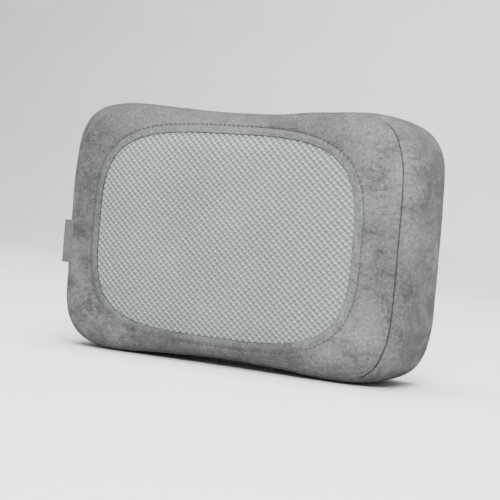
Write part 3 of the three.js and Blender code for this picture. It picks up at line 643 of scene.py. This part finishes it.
def knit_wave(look, cycles, lag):
    """A wave over the panel's plane, from -1 in the knit's holes to 1 on its ridges."""
    at = look.parts(look.coords)
    turns = look.plus(look.times(at["X"], cycles[0]), look.times(at["Z"], cycles[1]))
    phase = look.plus(turns, lag + 0.5)
    return look.math("COSINE", look.times(phase, TURN))


def knit_look():
    """Spacer mesh: short pale strands that slant across ridges, with painted shade darkening the holes
    between them.
    """
    look = Look("spacer_mesh")
    level = 0.5
    waves = ((KNIT_ACROSS, 0, 0.18), (KNIT_ALONG, 0, 0.11), (KNIT_STRAND, KNIT_STRAND_LAG, 0.22))
    for cycles, lag, weight in waves:
        level = look.plus(level, look.times(knit_wave(look, cycles, lag), weight))
    unevenness = look.math("SUBTRACT", look.noise(420, 2, 0.6), 0.5)
    level = look.plus(level, look.times(unevenness, 0.35))
    # The darkest colour, in the knit's holes, is painted shade
    colour = look.ramp(
        level,
        (0.0, (0.100, 0.118, 0.115)),
        (0.5, (0.216, 0.251, 0.245)),
        (0.75, (0.385, 0.437, 0.429)),
        (1.0, (0.76, 0.85, 0.84)),
    )
    drift = look.ramp(look.noise(14, 2), (0.3, 0.94), (0.7, 1.06))
    look.set(Base_Color=look.tint(colour, drift), Roughness=0.7, Specular_IOR_Level=0.3)
    look.bump(look.wave(500, "DIAGONAL", 2.0), 0.12 * MM, 0.6)
    return look.material


def thread_look(name, colour):
    look = Look(name)
    twist = look.wave(900, "DIAGONAL")
    look.set(Base_Color=look.mix(look.times(twist, 0.5), colour, scaled(colour, 0.6)))
    look.set(Roughness=0.6, Sheen_Weight=0.3)
    look.bump(twist, 0.1 * MM)
    return look.material


def woven_look(name, colour, ribs):
    """Plain weave: two crossing sets of ribs with a little colour drift."""
    look = Look(name)
    ribs_x = look.wave(ribs, "X", 0.6)
    ribs_z = look.wave(ribs * 0.8, "Z", 0.6)
    weave = look.times(ribs_x, ribs_z)
    shade = look.ramp(look.plus(look.times(weave, 0.6), look.noise(90, 3)), (0.3, 0.75), (1.0, 1.2))
    look.set(Base_Color=look.tint(colour, shade), Roughness=0.85, Specular_IOR_Level=0.2)
    look.bump(weave, 0.2 * MM)
    return look.material


def plastic_look(name, colour, roughness, grain):
    look = Look(name)
    drift = look.ramp(look.noise(45, 4), (0.3, 0.9), (0.7, 1.1))
    wear = look.noise(260, 4, 0.7)
    look.set(Base_Color=look.tint(colour, drift))
    look.set(Roughness=look.plus(roughness - 0.08, look.times(wear, 0.16)))
    look.bump(look.noise(1500, 2), grain * MM)
    return look.material


def metal_look(name, colour, roughness, brushed=(40, 40, 900)):
    look = Look(name)
    scratches = look.streaks(brushed, (0, 0, 0), 4, 0.7)
    shade = look.ramp(scratches, (0.3, 0.82), (0.7, 1.08))
    look.set(Base_Color=look.tint(colour, shade), Metallic=1.0)
    look.set(Roughness=look.plus(roughness, look.times(scratches, 0.2)))
    look.bump(scratches, 0.02 * MM)
    return look.material


def foam_look():
    look = Look("foam")
    pores = look.cells(700)
    colour = look.ramp(pores, (0.0, (0.45, 0.43, 0.36)), (0.6, (0.74, 0.71, 0.62)))
    look.set(Base_Color=colour, Roughness=0.95)
    look.bump(pores, 0.5 * MM)
    return look.material


def felt_look():
    look = Look("heater_felt")
    fibres = look.noise(500, 5, 0.75, 1.0)
    look.set(Base_Color=look.ramp(fibres, (0.3, 0.02), (0.75, 0.07)), Roughness=0.95, Sheen_Weight=0.3)
    look.bump(fibres, 0.4 * MM)
    return look.material


def board_look():
    """Solder resist with fine tracks and pads."""
    look = Look("circuit_board")
    tracks = look.math("LESS_THAN", look.cells(260, "DISTANCE_TO_EDGE"), 0.0006)
    pads = look.math("LESS_THAN", look.cells(190), 0.0011)
    green = look.mix(tracks, (0.012, 0.10, 0.045), (0.03, 0.2, 0.09))
    look.set(Base_Color=look.mix(pads, green, (0.55, 0.53, 0.42)), Roughness=0.35)
    look.bump(tracks, 0.05 * MM)
    return look.material


# Each plastic's colour, roughness and grain in mm; each metal's colour, roughness and brushing
PLASTICS = {
    "control_plastic": ((0.040, 0.042, 0.045), 0.48, 0.1),
    "button_rubber": ((0.105, 0.110, 0.116), 0.62, 0.12),
    "housing_plastic": ((0.020, 0.022, 0.024), 0.5, 0.12),
    "black_plastic": ((0.010, 0.010, 0.011), 0.35, 0.03),
    "gear_plastic": ((0.74, 0.73, 0.67), 0.38, 0.03),
    "carrier_plastic": ((0.038, 0.041, 0.045), 0.42, 0.1),
    "node_plastic": ((0.50, 0.12, 0.03), 0.28, 0.02),
    "cell_wrap": ((0.03, 0.14, 0.42), 0.22, 0.04),
    "cable_rubber": ((0.018, 0.018, 0.020), 0.6, 0.06),
}
METALS = {
    "steel": ((0.58, 0.59, 0.61), 0.22),
    "zip_metal": ((0.50, 0.51, 0.53), 0.26),
    "worm_brass": ((0.62, 0.42, 0.16), 0.22),
    "bush_bronze": ((0.42, 0.25, 0.11), 0.38, (300, 300, 300)),
}
LOOKS = {name: plastic_look(name, *values) for name, values in PLASTICS.items()}
LOOKS.update({name: metal_look(name, *values) for name, values in METALS.items()})
LOOKS["circuit_board"] = board_look()

VELOUR = velour_look((0.210, 0.212, 0.217), (0.092, 0.094, 0.100))
KNIT = knit_look()
THREAD = thread_look("thread", (0.060, 0.050, 0.042))
TAB_THREAD = thread_look("tab_thread", (0.13, 0.13, 0.13))
MARK = plastic_look("button_mark", (0.55, 0.56, 0.57), 0.5, 0.04)
ZIP_TAPE = woven_look("zip_tape", (0.115, 0.117, 0.122), 900)
ZIP_COIL = plastic_look("zip_coil", (0.085, 0.087, 0.092), 0.4, 0.03)
TAB_WEAVE = woven_look("woven_label", (0.205, 0.205, 0.206), 1400)
FOAM = foam_look()
LINING = woven_look("lining", (0.10, 0.105, 0.11), 600)


# Soft pieces


def cover_grid(block, shares, theta):
    """A block of the cover at fine spacing, with the stuffing's push."""
    point = SOFT_BLOCKS[block][0]
    grid = np.stack([point(theta, v) + pushed(block, theta, np.full(len(theta), v)) for v in shares])
    return grid, grid_normals(grid)


def hem_profile(distance):
    """Height of the front cover over its form at a distance from the window's edge."""
    rounding = np.sqrt(1 - np.clip(1 - distance / HEM_LIP, 0, 1) ** 2)
    lip = HEM_RAISE * (1.5 * rounding - 0.5)
    fade = np.clip(1 - (distance - STITCH_OFFSET) / HEM_FADE, 0, 1)
    waves = sum(height * bell(distance - centre, width) for centre, height, width in HEM_WAVES)
    return np.where(distance < STITCH_OFFSET, lip, HEM_RAISE * fade) + waves


def build_front_cover():
    grid, normals = cover_grid(1, dense_ends(52), even_thetas(FINE_COLUMNS))
    from_hem = rows_length(grid)
    seam = bell(from_hem[-1] - from_hem, SEAM_REACH)
    offset = hem_profile(from_hem) - SEAM_DEPTH * seam
    offset += velour_offsets(grid) * np.clip((from_hem - STITCH_OFFSET) / CALM_WIDTH, 0, 1)
    grid = grid + normals * offset[..., None]
    inward = unit(grid[0] - grid[1])
    under = [grid[0] - normals[0] * depth - inward * reach for depth, reach in HEM_TURNS]
    grid = np.concatenate([under, tucked(grid, normals, False)])
    shade = with_ends(seam + bell(from_hem, HEM_CREASE), 2, 2)
    hem = np.concatenate([np.zeros((2, FINE_COLUMNS)), from_hem, np.ones((2, FINE_COLUMNS))])
    faces = orient_outward(grid, grid_faces(len(grid), FINE_COLUMNS))
    obj = make_object("front_cover_velour", grid, faces, {"hem": hem, "seam": shade})
    place(obj, VELOUR, "velour", "front_cover")


def bezel_distance(points):
    """Distance outside the control bezel's rounded outline, negative inside it."""
    half = (CONTROL_HIGH - CONTROL_LOW) / 2
    across = np.abs(points[..., 1] - MIDDLE_Y) - (half.y - CONTROL_CORNER)
    up = np.abs(points[..., 2] - (CONTROL_HIGH.z + CONTROL_LOW.z) / 2) - (half.z - CONTROL_CORNER)
    outside = np.hypot(np.maximum(across, 0), np.maximum(up, 0))
    distance = outside + np.minimum(np.maximum(across, up), 0) - CONTROL_CORNER
    return np.where(points[..., 0] < 0, distance, 1.0)


def band_thetas():
    """Even columns, with extra ones beside the controls."""
    theta = even_thetas(FINE_COLUMNS)
    beside = np.linspace(math.pi - BESIDE_SPREAD, math.pi + BESIDE_SPREAD, BESIDE_COLUMNS)
    return np.sort(np.concatenate([theta[np.abs(theta - math.pi) > BESIDE_SPREAD], beside]))


def build_side_band():
    theta = band_thetas()
    grid, normals = cover_grid(2, dense_ends(90), theta)
    from_front = rows_length(grid)
    seams = bell(from_front, SEAM_REACH) + bell(from_front[-1] - from_front, SEAM_REACH)
    from_bezel = bezel_distance(grid)
    beside = np.maximum(from_bezel, 0)
    offset = velour_offsets(grid) * np.clip(from_bezel / CALM_WIDTH, 0, 1)
    offset -= SEAM_DEPTH * seams + BEZEL_DIP * bell(beside, BEZEL_DIP_WIDTH)
    offset -= BEZEL_TUCK * smoothstep((BEZEL_TUCK_START - from_bezel) / BEZEL_TUCK_WIDTH)
    grid = grid + normals * offset[..., None]
    grid = tucked(tucked(grid, normals, True), normals, False)
    shade = with_ends(seams + bell(beside, SEAM_REACH), 2, 2)
    faces = np.array(orient_outward(grid, grid_faces(len(grid), len(theta))))
    outside = with_ends(from_bezel, 2, 2).ravel() > -BEZEL_LAP
    faces = faces[outside[faces].any(axis=1)].tolist()
    obj = make_object("side_band_velour", grid, faces, {"seam": shade})
    place(obj, VELOUR, "velour", "side_band")


def zip_origin():
    """Middle of the zip, on the form."""
    share = ZIP_Z / -WAIST_HALF_HEIGHT
    return np.array([0, MIDDLE_Y + HALF_THICKNESS * section_rise(share), ZIP_Z])


def laid(along, out, up):
    """Points given along the zip, out of the cover and up its slope."""
    along, out, up = (np.asarray(a, float)[..., None] for a in np.broadcast_arrays(along, out, up))
    return zip_origin() + along * np.array([1, 0, 0]) + out * ZIP_OUT + up * ZIP_UP


def zip_distance(points):
    """How far points are outside the zip's slot."""
    from_middle = points - zip_origin()
    along = np.maximum(np.abs(from_middle[..., 0]) - ZIP_HALF_LENGTH, 0)
    up = np.maximum(np.abs(from_middle @ ZIP_UP) - SLOT_HALF_WIDTH, 0)
    return np.hypot(along, up)


def faces_within(reach, faces):
    """The faces whose middles are less than a distance outside the zip's slot."""
    gaps = zip_distance(np.array([face.calc_center_median() for face in faces]))
    return [face for face, gap in zip(faces, gaps) if gap < reach]


def cut_slot(obj):
    """Opens the zip's slot in the rear cover and turns the fabric's edges down into it."""
    mesh = bmesh.new()
    mesh.from_mesh(obj.data)
    origin = Vector(zip_origin())
    near = faces_within(SLOT_NEAR, list(mesh.faces))
    geometry = near + list({e for f in near for e in f.edges}) + list({v for f in near for v in f.verts})
    for direction, reach in ((Vector(ZIP_UP), SLOT_HALF_WIDTH), (Vector((1, 0, 0)), ZIP_HALF_LENGTH)):
        for side in (-1, 1):
            edge = origin + direction * reach * side
            cut = bmesh.ops.bisect_plane(mesh, geom=geometry, dist=TINY, plane_co=edge, plane_no=direction)
            geometry = cut["geom"]
    slot = faces_within(TINY, [g for g in geometry if isinstance(g, bmesh.types.BMFace)])
    rim = {e for f in slot for e in f.edges if not all(g in slot for g in e.link_faces)}
    bmesh.ops.delete(mesh, geom=slot, context="FACES")
    rim = [e for e in rim if e.is_valid]
    for depth, back in SLOT_TURNS:
        made = bmesh.ops.extrude_edge_only(mesh, edges=rim)["geom"]
        rim = [g for g in made if isinstance(g, bmesh.types.BMEdge)]
        for vertex in (g for g in made if isinstance(g, bmesh.types.BMVert)):
            up = (vertex.co - origin) @ Vector(ZIP_UP)
            vertex.co += Vector(ZIP_UP * np.sign(up) * back - ZIP_OUT * depth)
    for face in mesh.faces:
        face.smooth = True
    mesh.to_mesh(obj.data)
    mesh.free()


def build_rear_cover():
    # The rows are closer together by the seam, and one face fills the middle
    shares = 0.985 * np.linspace(0, 1, 84) ** 1.2
    grid, normals = cover_grid(3, shares, even_thetas(REAR_COLUMNS))
    from_seam = rows_length(grid)
    from_zip = zip_distance(grid)
    calm = np.clip(from_seam / CALM_WIDTH, 0.2, 1) * np.clip(from_zip / SLOT_CALM, 0, 1)
    seam = bell(from_seam, SEAM_REACH)
    offset = velour_offsets(grid) * calm - SEAM_DEPTH * seam
    grid = grid + normals * offset[..., None]
    height = (grid - zip_origin()) @ ZIP_OUT
    flush = bell(np.maximum(from_zip - SLOT_FLAT, 0), SLOT_FADE)
    lip = SLOT_LIP * (1 - bell(from_zip, SLOT_LIP_WIDTH))
    lip -= SLOT_GROOVE * bell(from_zip - ZIP_STITCH_OFFSET, SLOT_GROOVE_WIDTH)
    grid += ((lip - height) * flush)[..., None] * ZIP_OUT
    grid = tucked(grid, normals, True)
    shade = with_ends(seam + 0.8 * bell(from_zip, SLOT_CREASE), 2, 0)
    faces = grid_faces(len(grid), REAR_COLUMNS)
    last = (len(grid) - 1) * REAR_COLUMNS
    faces.append(tuple(range(last, last + REAR_COLUMNS)))
    faces = orient_outward(grid, faces)
    obj = make_object("rear_cover_velour", grid, faces, {"seam": shade})
    cut_slot(obj)
    place(obj, VELOUR, "velour", "rear_cover")


def knit_height(x, z):
    """The knit's height at a point of the panel, from -1 in a hole to 1 on a ridge."""
    across, along = (-np.cos(TURN * (x * a + z * b)) for a, b in (KNIT_ACROSS, KNIT_ALONG))
    return 0.6 * across + 0.4 * along


def build_mesh_panel():
    halves = (PANEL_HALF_WIDTH + PANEL_UNDER_HEM, PANEL_HALF_HEIGHT + PANEL_UNDER_HEM)
    x, z = np.meshgrid(*(np.arange(-half, half, KNIT_GRID) for half in halves))
    theta = np.arctan2(z, x)
    radius = np.hypot(x, z)
    edge = panel_radius(theta)
    inside = radius <= edge + PANEL_UNDER_HEM
    points = face_point(theta, radius, -1)
    points += pushed(0, theta, np.clip(radius / edge, POLE_SHARE, 1))
    sink = PANEL_SINK * bell(np.maximum(edge - radius, 0), PANEL_SINK_WIDTH)
    calm = np.clip((edge - radius) / KNIT_CALM, 0, 1)
    points[..., 1] += sink - KNIT_HEIGHT * knit_height(x, z) * calm
    number = np.full(x.shape, -1)
    number[inside] = np.arange(inside.sum())
    corners = np.stack([number[:-1, :-1], number[:-1, 1:], number[1:, 1:], number[1:, :-1]], axis=-1)
    whole = (corners >= 0).all(axis=-1)
    obj = make_object("mesh_panel_knit", points[inside], corners[whole].tolist())
    place(obj, KNIT, "spacer_mesh", "mesh_panel")


def front_surface(x, z):
    """Point and outward normal of the pushed front face at places in the panel's plane."""

    def height(px, pz):
        theta, radius = np.arctan2(pz, px), np.hypot(px, pz)
        inner = panel_radius(theta)
        outer = section_rise(front_seam_rise(theta)) * outline_radius(theta)
        v = np.clip((radius - inner) / (outer - inner), 0, 1)
        return (face_point(theta, radius, -1) + pushed(1, theta, v))[..., 1]

    step = 0.5 * MM
    y = height(x, z)
    slope_x = (height(x + step, z) - y) / step
    slope_z = (height(x, z + step) - y) / step
    normal = np.stack([slope_x, -np.ones_like(y), slope_z], axis=-1)
    return np.stack([x, y, z], axis=-1), unit(normal)


def tube_rings(middle, normals, radii, sides):
    """Vertices of the rings round a run of points."""
    along = unit(np.gradient(middle, axis=0))
    across = unit(np.cross(along, normals))
    up = np.cross(across, along)
    angle = TURN * np.arange(sides) / sides
    arm = across[:, None] * np.cos(angle)[:, None] + up[:, None] * np.sin(angle)[:, None]
    return (middle[:, None] + arm * radii[:, None, None]).reshape(-1, 3)


def build_tubes(name, runs, radius, look, slot, body="pillow", sides=8):
    """One piece made of a tapered tube along each run of (points, normals or one normal)."""
    vertices, faces, base = [], [], 0
    for middle, normals in runs:
        radii = np.full(len(middle), radius)
        radii[[0, -1]] *= TUBE_TAPER
        faces += closed_faces(len(middle), sides, base)
        vertices.append(tube_rings(middle, np.broadcast_to(normals, middle.shape), radii, sides))
        base += len(middle) * sides
    obj = make_object(name, np.concatenate(vertices), faces)
    place(obj, look, slot, body=body)


def stitch_centres(total):
    count = round(total / STITCH_PITCH)
    return (np.arange(count) + 0.5) * total / count


def build_topstitch():
    """One short arched thread for each stitch, ends sunk into the hem's groove."""
    x, z = (np.append(values, values[0]) for values in panel_curve(4000, STITCH_OFFSET))
    length = distances_along(x, z)
    runs = []
    for centre in stitch_centres(length[-1]):
        reached = (centre + STITCH_SHARE * STITCH_LENGTH) % length[-1]
        points, normals = front_surface(np.interp(reached, length, x), np.interp(reached, length, z))
        runs.append((points + normals * STITCH_ARCH[:, None], normals))
    build_tubes("window_topstitch", runs, THREAD_RADIUS, THREAD, "velour")


def build_zip_tape():
    """The woven tape, as ribs along the zip, rippled a little."""
    along = np.linspace(-ZIP_HALF_LENGTH, ZIP_HALF_LENGTH, 180)
    rows = []
    for across, height in ZIP_SECTION:
        out = ZIP_TAPE_LOW + height * (ZIP_TAPE_HIGH - ZIP_TAPE_LOW)
        ripple = ZIP_RIPPLE * np.sin(along / ZIP_HALF_WIDTH + across)
        rows.append(laid(along, out + ripple, across * ZIP_HALF_WIDTH))
    grid = np.stack(rows, axis=1)
    faces = orient_outward(grid, closed_faces(len(along), len(ZIP_SECTION)))
    place(make_object("zip_tape_weave", grid, faces), ZIP_TAPE, "zip_tape", "zip_tape")


def build_zip_coil():
    """The nylon coil, one arch for each turn, leaning to one side and then the other."""
    turns = round(2 * (ZIP_HALF_LENGTH - COIL_END) / COIL_PITCH)
    swing = np.linspace(0, math.pi, 8)
    coil = []
    for turn in range(turns):
        centre = (turn + 0.5 - turns / 2) * COIL_PITCH
        lean = COIL_LEAN * np.cos(swing) * (-1) ** turn
        out = ZIP_TAPE_HIGH + COIL_HEIGHT * np.sin(swing) ** 0.6
        coil.append((laid(centre + lean, out, COIL_HALF_WIDTH * np.cos(swing)), ZIP_OUT))
    build_tubes("zip_coil", coil, COIL_RADIUS, ZIP_COIL, "zip_tape", sides=6)


def build_zip_ends_and_seams():
    """The metal stop at each end of the coil, and the seam each side of the slot."""
    stops, stitches = [], []
    for side in (-1, 1):
        reach = np.linspace(-STOP_HALF_WIDTH, STOP_HALF_WIDTH, 5)
        middle = laid(side * (ZIP_HALF_LENGTH - STOP_END), ZIP_TAPE_HIGH + STOP_RAISE, reach)
        stops.append((middle, ZIP_OUT))
        up = side * (SLOT_HALF_WIDTH + ZIP_STITCH_OFFSET)
        for centre in stitch_centres(2 * ZIP_HALF_LENGTH) - ZIP_HALF_LENGTH:
            along = centre + STITCH_SHARE * STITCH_LENGTH
            stitches.append((laid(along, STITCH_ARCH - ZIP_STITCH_SINK, up), ZIP_OUT))
    build_tubes("zip_stops", stops, STOP_RADIUS, LOOKS["zip_metal"], "zip_metal")
    build_tubes("zip_topstitch", stitches, THREAD_RADIUS, THREAD, "velour")


def build_tab():
    """A folded strip of woven tape, its two ends held in the seam."""
    low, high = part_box("side_tab")
    middle_y = (low.y + high.y) / 2
    thickness = (high.y - low.y) / 2 - TAB_MARGIN
    length = high.x - low.x
    fold = np.linspace(math.pi / 2, 1.5 * math.pi, 9)
    run = [(high.x - length * share, 1) for share in (0, 0.3, 0.6, 0.9)]
    bend = [(low.x + thickness * (1 + math.cos(a)), math.sin(a)) for a in fold]
    path = run + bend + [(x, -1) for x, _ in reversed(run)]
    z = np.linspace(low.z, high.z, 60)
    rows = []
    for x, side in path:
        wave = TAB_WAVE * np.sin(z / TAB_WAVE_LENGTH) * (high.x - x) / length
        rows.append(np.stack([np.full_like(z, x), middle_y + side * thickness + wave, z], axis=-1))
    grid = np.stack(rows)
    tab = make_object("side_tab_weave", grid, grid_faces(len(path), len(z), wrap=False))
    solidify = tab.modifiers.new("thickness", "SOLIDIFY")
    solidify.thickness = TAB_CLOTH
    solidify.offset = 0
    place(tab, TAB_WEAVE, "woven_label", "side_tab")

    holds = []
    for centre in stitch_centres(high.z - low.z) + low.z:
        up = centre + STITCH_SHARE * STITCH_LENGTH
        x = np.full_like(up, low.x + TAB_STITCH_INSET)
        holds.append((np.stack([x, low.y - STITCH_ARCH / 2, up], axis=-1), FORWARD))
    build_tubes("side_tab_stitch", holds, 0.8 * THREAD_RADIUS, TAB_THREAD, "woven_label")


def build_button_marks():
    """Raised marks on the two buttons: a ring open at the top with a bar, and three rising waves."""

    def run(node, up, across):
        low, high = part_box(node)
        centre = (low + high) / 2
        x = np.full_like(up, low.x + MARK_RAISE)
        return np.stack([x, centre.y + across, centre.z + up], axis=-1), LEFTWARD

    arc = math.pi / 2 + np.linspace(POWER_GAP, TURN - POWER_GAP, 40)
    ring = run("power_button", MARK_REACH * np.sin(arc), MARK_REACH * np.cos(arc))
    bar_up = np.linspace(*POWER_BAR, 6)
    bar = run("power_button", bar_up, 0 * bar_up)
    build_tubes("power_mark", [ring, bar], MARK_RADIUS, MARK, "button_rubber", "power_button")

    up = np.linspace(-MARK_REACH, MARK_REACH, 24)
    across = WAVE_HEIGHT * np.sin(up / WAVE_LENGTH)
    waves = [run("heat_button", up, across + side * WAVE_PITCH) for side in (-1, 0, 1)]
    build_tubes("heat_mark", waves, MARK_RADIUS, MARK, "button_rubber", "heat_button")


def build_socket_insert():
    """The dark moulding inside the charging socket: a back plate and the tongue that stands on it."""
    low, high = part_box("charge_socket")
    mesh = bmesh.new()
    for near, far, half_y, half_z in SOCKET_BLOCKS:
        centre = (low + high) / 2
        centre.x = low.x + (near + far) / 2 * MM
        size = Matrix.Diagonal(((far - near) * MM, 2 * half_y * MM, 2 * half_z * MM, 1))
        bmesh.ops.create_cube(mesh, size=1, matrix=Matrix.Translation(centre) @ size)
    data = bpy.data.meshes.new("socket_insert")
    mesh.to_mesh(data)
    mesh.free()
    insert = linked("socket_insert", data)
    edges = insert.modifiers.new("edges", "BEVEL")
    edges.width = SOCKET_EDGE
    edges.segments = 2
    place(insert, LOOKS["black_plastic"], "black_plastic")


def copied(node, name, voxel):
    """A new piece from a CAD node's shape, remeshed evenly and softened."""
    obj = linked(name, frame["nodes"][node].data.copy())
    obj.modifiers.new("weld", "WELD").merge_threshold = TINY
    remesh = obj.modifiers.new("remesh", "REMESH")
    remesh.mode = "VOXEL"
    remesh.voxel_size = voxel
    remesh.use_smooth_shade = True
    soften = obj.modifiers.new("soften", "SMOOTH")
    soften.factor = 0.5
    soften.iterations = 2
    evaluated = obj.evaluated_get(bpy.context.evaluated_depsgraph_get())
    mesh = bpy.data.meshes.new_from_object(evaluated)
    obj.modifiers.clear()
    obj.data = mesh
    return obj


def build_foam():
    """The foam block, a little smaller than its CAD node and with a lumpy skin."""
    obj = copied("foam_core", "foam_block", 3.5 * MM)
    vertices = obj.data.vertices
    points, normals = np.zeros((2, len(vertices), 3), np.float32)
    vertices.foreach_get("co", points.ravel())
    vertices.foreach_get("normal", normals.ravel())
    offset = undulation(points, *FOAM_LUMPS) - FOAM_INSET
    points = points + normals * offset[:, None]
    vertices.foreach_set("co", points.astype(np.float32).ravel())
    place(obj, FOAM, "foam", "foam_core")


# Rows of a sheet's edge and back, as shares of its outline and of its thickness
SHEET_BACK = ((1.0, 0.75), (0.995, 0.95), (0.9, 1.0), (0.02, 1.0))


def build_sheet(name, node, look, slot, ripple):
    """A thin soft sheet with the window's kind of outline that fills a CAD node's box."""
    low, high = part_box(node)
    thickness = high.y - low.y
    edge_x, edge_z = superellipse(160, high.x, high.z, PANEL_POWER)
    rows = []
    for share in np.linspace(0.02, 1, 44):
        x, z = edge_x * share, edge_z * share
        y = np.full_like(x, low.y + thickness * (0.18 + 0.35 * share**30))
        quilting = np.abs(np.sin(x / ripple) * np.sin(z / ripple)) * (1 - share**8)
        rows.append(np.stack([x, y - 0.15 * thickness * quilting, z], axis=-1))
    for share, depth in SHEET_BACK:
        y = np.full_like(edge_x, low.y + thickness * depth)
        rows.append(np.stack([edge_x * share, y, edge_z * share], axis=-1))
    grid = np.stack(rows)
    obj = make_object(name, grid, closed_faces(len(grid), len(edge_x)))
    place(obj, look, slot, node)


def build_heater_wire():
    """The heating wire, couched back and forth over the felt."""
    low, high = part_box("heater_pad")
    lanes = 9
    step = 1.5 * high.z / (lanes - 1)
    reach = 0.84 * high.x
    places = []
    for lane in range(lanes):
        z = (lane - (lanes - 1) / 2) * step
        side = 1 if lane % 2 else -1
        for share in np.linspace(-1, 1, 60):
            places.append((-side * share * reach, z + WIRE_WANDER * math.sin(share * 40)))
        if lane < lanes - 1:
            for angle in np.linspace(-math.pi / 2, math.pi / 2, 8)[1:-1]:
                turn_x = -side * (reach + step / 2 * math.cos(angle))
                places.append((turn_x, z + step / 2 * (1 + math.sin(angle))))
    x, z = np.transpose(places)
    middle = np.stack([x, np.full_like(x, low.y + WIRE_DEPTH), z], axis=-1)
    rubber = LOOKS["cable_rubber"]
    build_tubes("heater_wire", [(middle, FORWARD)], WIRE_RADIUS, rubber, "cable_rubber", sides=6)


EDGE, SMALL_EDGE = 0.3 * MM, 0.12 * MM
SMALL_EDGED = {"worm", "board_chip", "board_connector", "charge_socket", "zip_slider", "zip_pull"}


def dress_hard_nodes():
    """Gives each CAD node that stays its look, softened edges and smooth shading."""
    slots = {part["node"]: part["material_slot"] for part in frame["record"]["subparts"]}
    for name, obj in frame["nodes"].items():
        if obj.hide_render:
            continue
        obj.data.materials.clear()
        obj.data.materials.append(LOOKS[slots[name]])
        obj.data.polygons.foreach_set("use_smooth", np.ones(len(obj.data.polygons), bool))
        obj.modifiers.new("weld", "WELD").merge_threshold = 2 * TINY
        bevel = obj.modifiers.new("edges", "BEVEL")
        bevel.width = SMALL_EDGE if name in SMALL_EDGED else EDGE
        bevel.segments = 2
        bevel.limit_method = "ANGLE"
        bevel.angle_limit = math.radians(35)
        obj.modifiers.new("normals", "WEIGHTED_NORMAL").weight = 100


build_front_cover()
build_side_band()
build_rear_cover()
build_mesh_panel()
build_topstitch()
build_zip_tape()
build_zip_coil()
build_zip_ends_and_seams()
build_tab()
build_button_marks()
build_socket_insert()
build_foam()
build_sheet("inner_liner_weave", "inner_liner", LINING, "lining", 9 * MM)
build_sheet("heater_pad_felt", "heater_pad", felt_look(), "heater_felt", 6 * MM)
build_heater_wire()
dress_hard_nodes()


# Camera, floor and light

FLOOR_GAP = 1.5 * MM


def make_camera():
    """The viewpoint the object was looked at from: to its right, level, rolled a little."""
    azimuth, elevation, roll = (math.radians(a) for a in (28.14, 1.48, 4.92))
    distance = 1.3876
    shift_right, shift_up = -0.0035, 0.0130
    centre = Vector((0, MIDDLE_Y, 0))
    right = Vector((math.cos(azimuth), math.sin(azimuth), 0))
    level = Vector((math.sin(azimuth), -math.cos(azimuth), 0))
    back = level * math.cos(elevation) + Vector((0, 0, math.sin(elevation)))
    up = back.cross(right)
    turned_right = right * math.cos(roll) + up * math.sin(roll)
    turned_up = up * math.cos(roll) - right * math.sin(roll)
    camera = linked("camera", bpy.data.cameras.new("camera"))
    camera.data.sensor_width = 36
    camera.data.lens = 96.1
    matrix = Matrix((turned_right, turned_up, back)).transposed().to_4x4()
    matrix.translation = centre + back * distance - right * shift_right - up * shift_up
    camera.matrix_world = matrix
    bpy.context.scene.camera = camera


def make_floor():
    """A pale floor that sweeps up behind the object into a wall."""
    half_width, near, bend, radius, height = 9.0, -9.0, 2.2, 2.0, 7.0
    ground = BASE_Z - FLOOR_GAP
    profile = [(near, ground), (bend, ground)]
    for step in range(1, 17):
        angle = step / 16 * math.pi / 2
        profile.append((bend + radius * math.sin(angle), ground + radius * (1 - math.cos(angle))))
    profile.append((bend + radius, ground + height))
    corners = [(x, y, z) for y, z in profile for x in (-half_width, half_width)]
    faces = [(2 * i, 2 * i + 1, 2 * i + 3, 2 * i + 2) for i in range(len(profile) - 1)]
    floor = make_object("floor", corners, faces)
    look = Look("floor")
    # The floor looks paler to the camera than it is to the light it bounces back
    seen = look.node("LightPath").outputs["Is Camera Ray"]
    drift = look.ramp(look.noise(3, 2), (0.3, 0.86), (0.7, 0.90))
    look.set(Base_Color=look.mix(seen, (0.50, 0.50, 0.50), drift), Roughness=0.9)
    floor.data.materials.append(look.material)


def area_light(name, position, aim, size, power):
    data = bpy.data.lights.new(name, "AREA")
    data.shape = "DISK"
    data.size = size
    data.energy = power
    light = linked(name, data)
    light.location = position
    light.rotation_mode = "QUATERNION"
    light.rotation_quaternion = (Vector(aim) - Vector(position)).to_track_quat("-Z", "Y")


def make_lights():
    world = bpy.data.worlds.new("studio")
    world.use_nodes = True
    background = world.node_tree.nodes["Background"]
    background.inputs["Color"].default_value = (1, 1, 1, 1)
    background.inputs["Strength"].default_value = 0.58
    bpy.context.scene.world = world
    centre = (0, MIDDLE_Y, 0)
    area_light("key", (0.66, -1.2, 1.1), centre, 0.8, 40)
    area_light("backdrop_light", (0, 0.2, 3.2), (0, 2.6, 0.2), 3.0, 300)


make_camera()
make_floor()
make_lights()
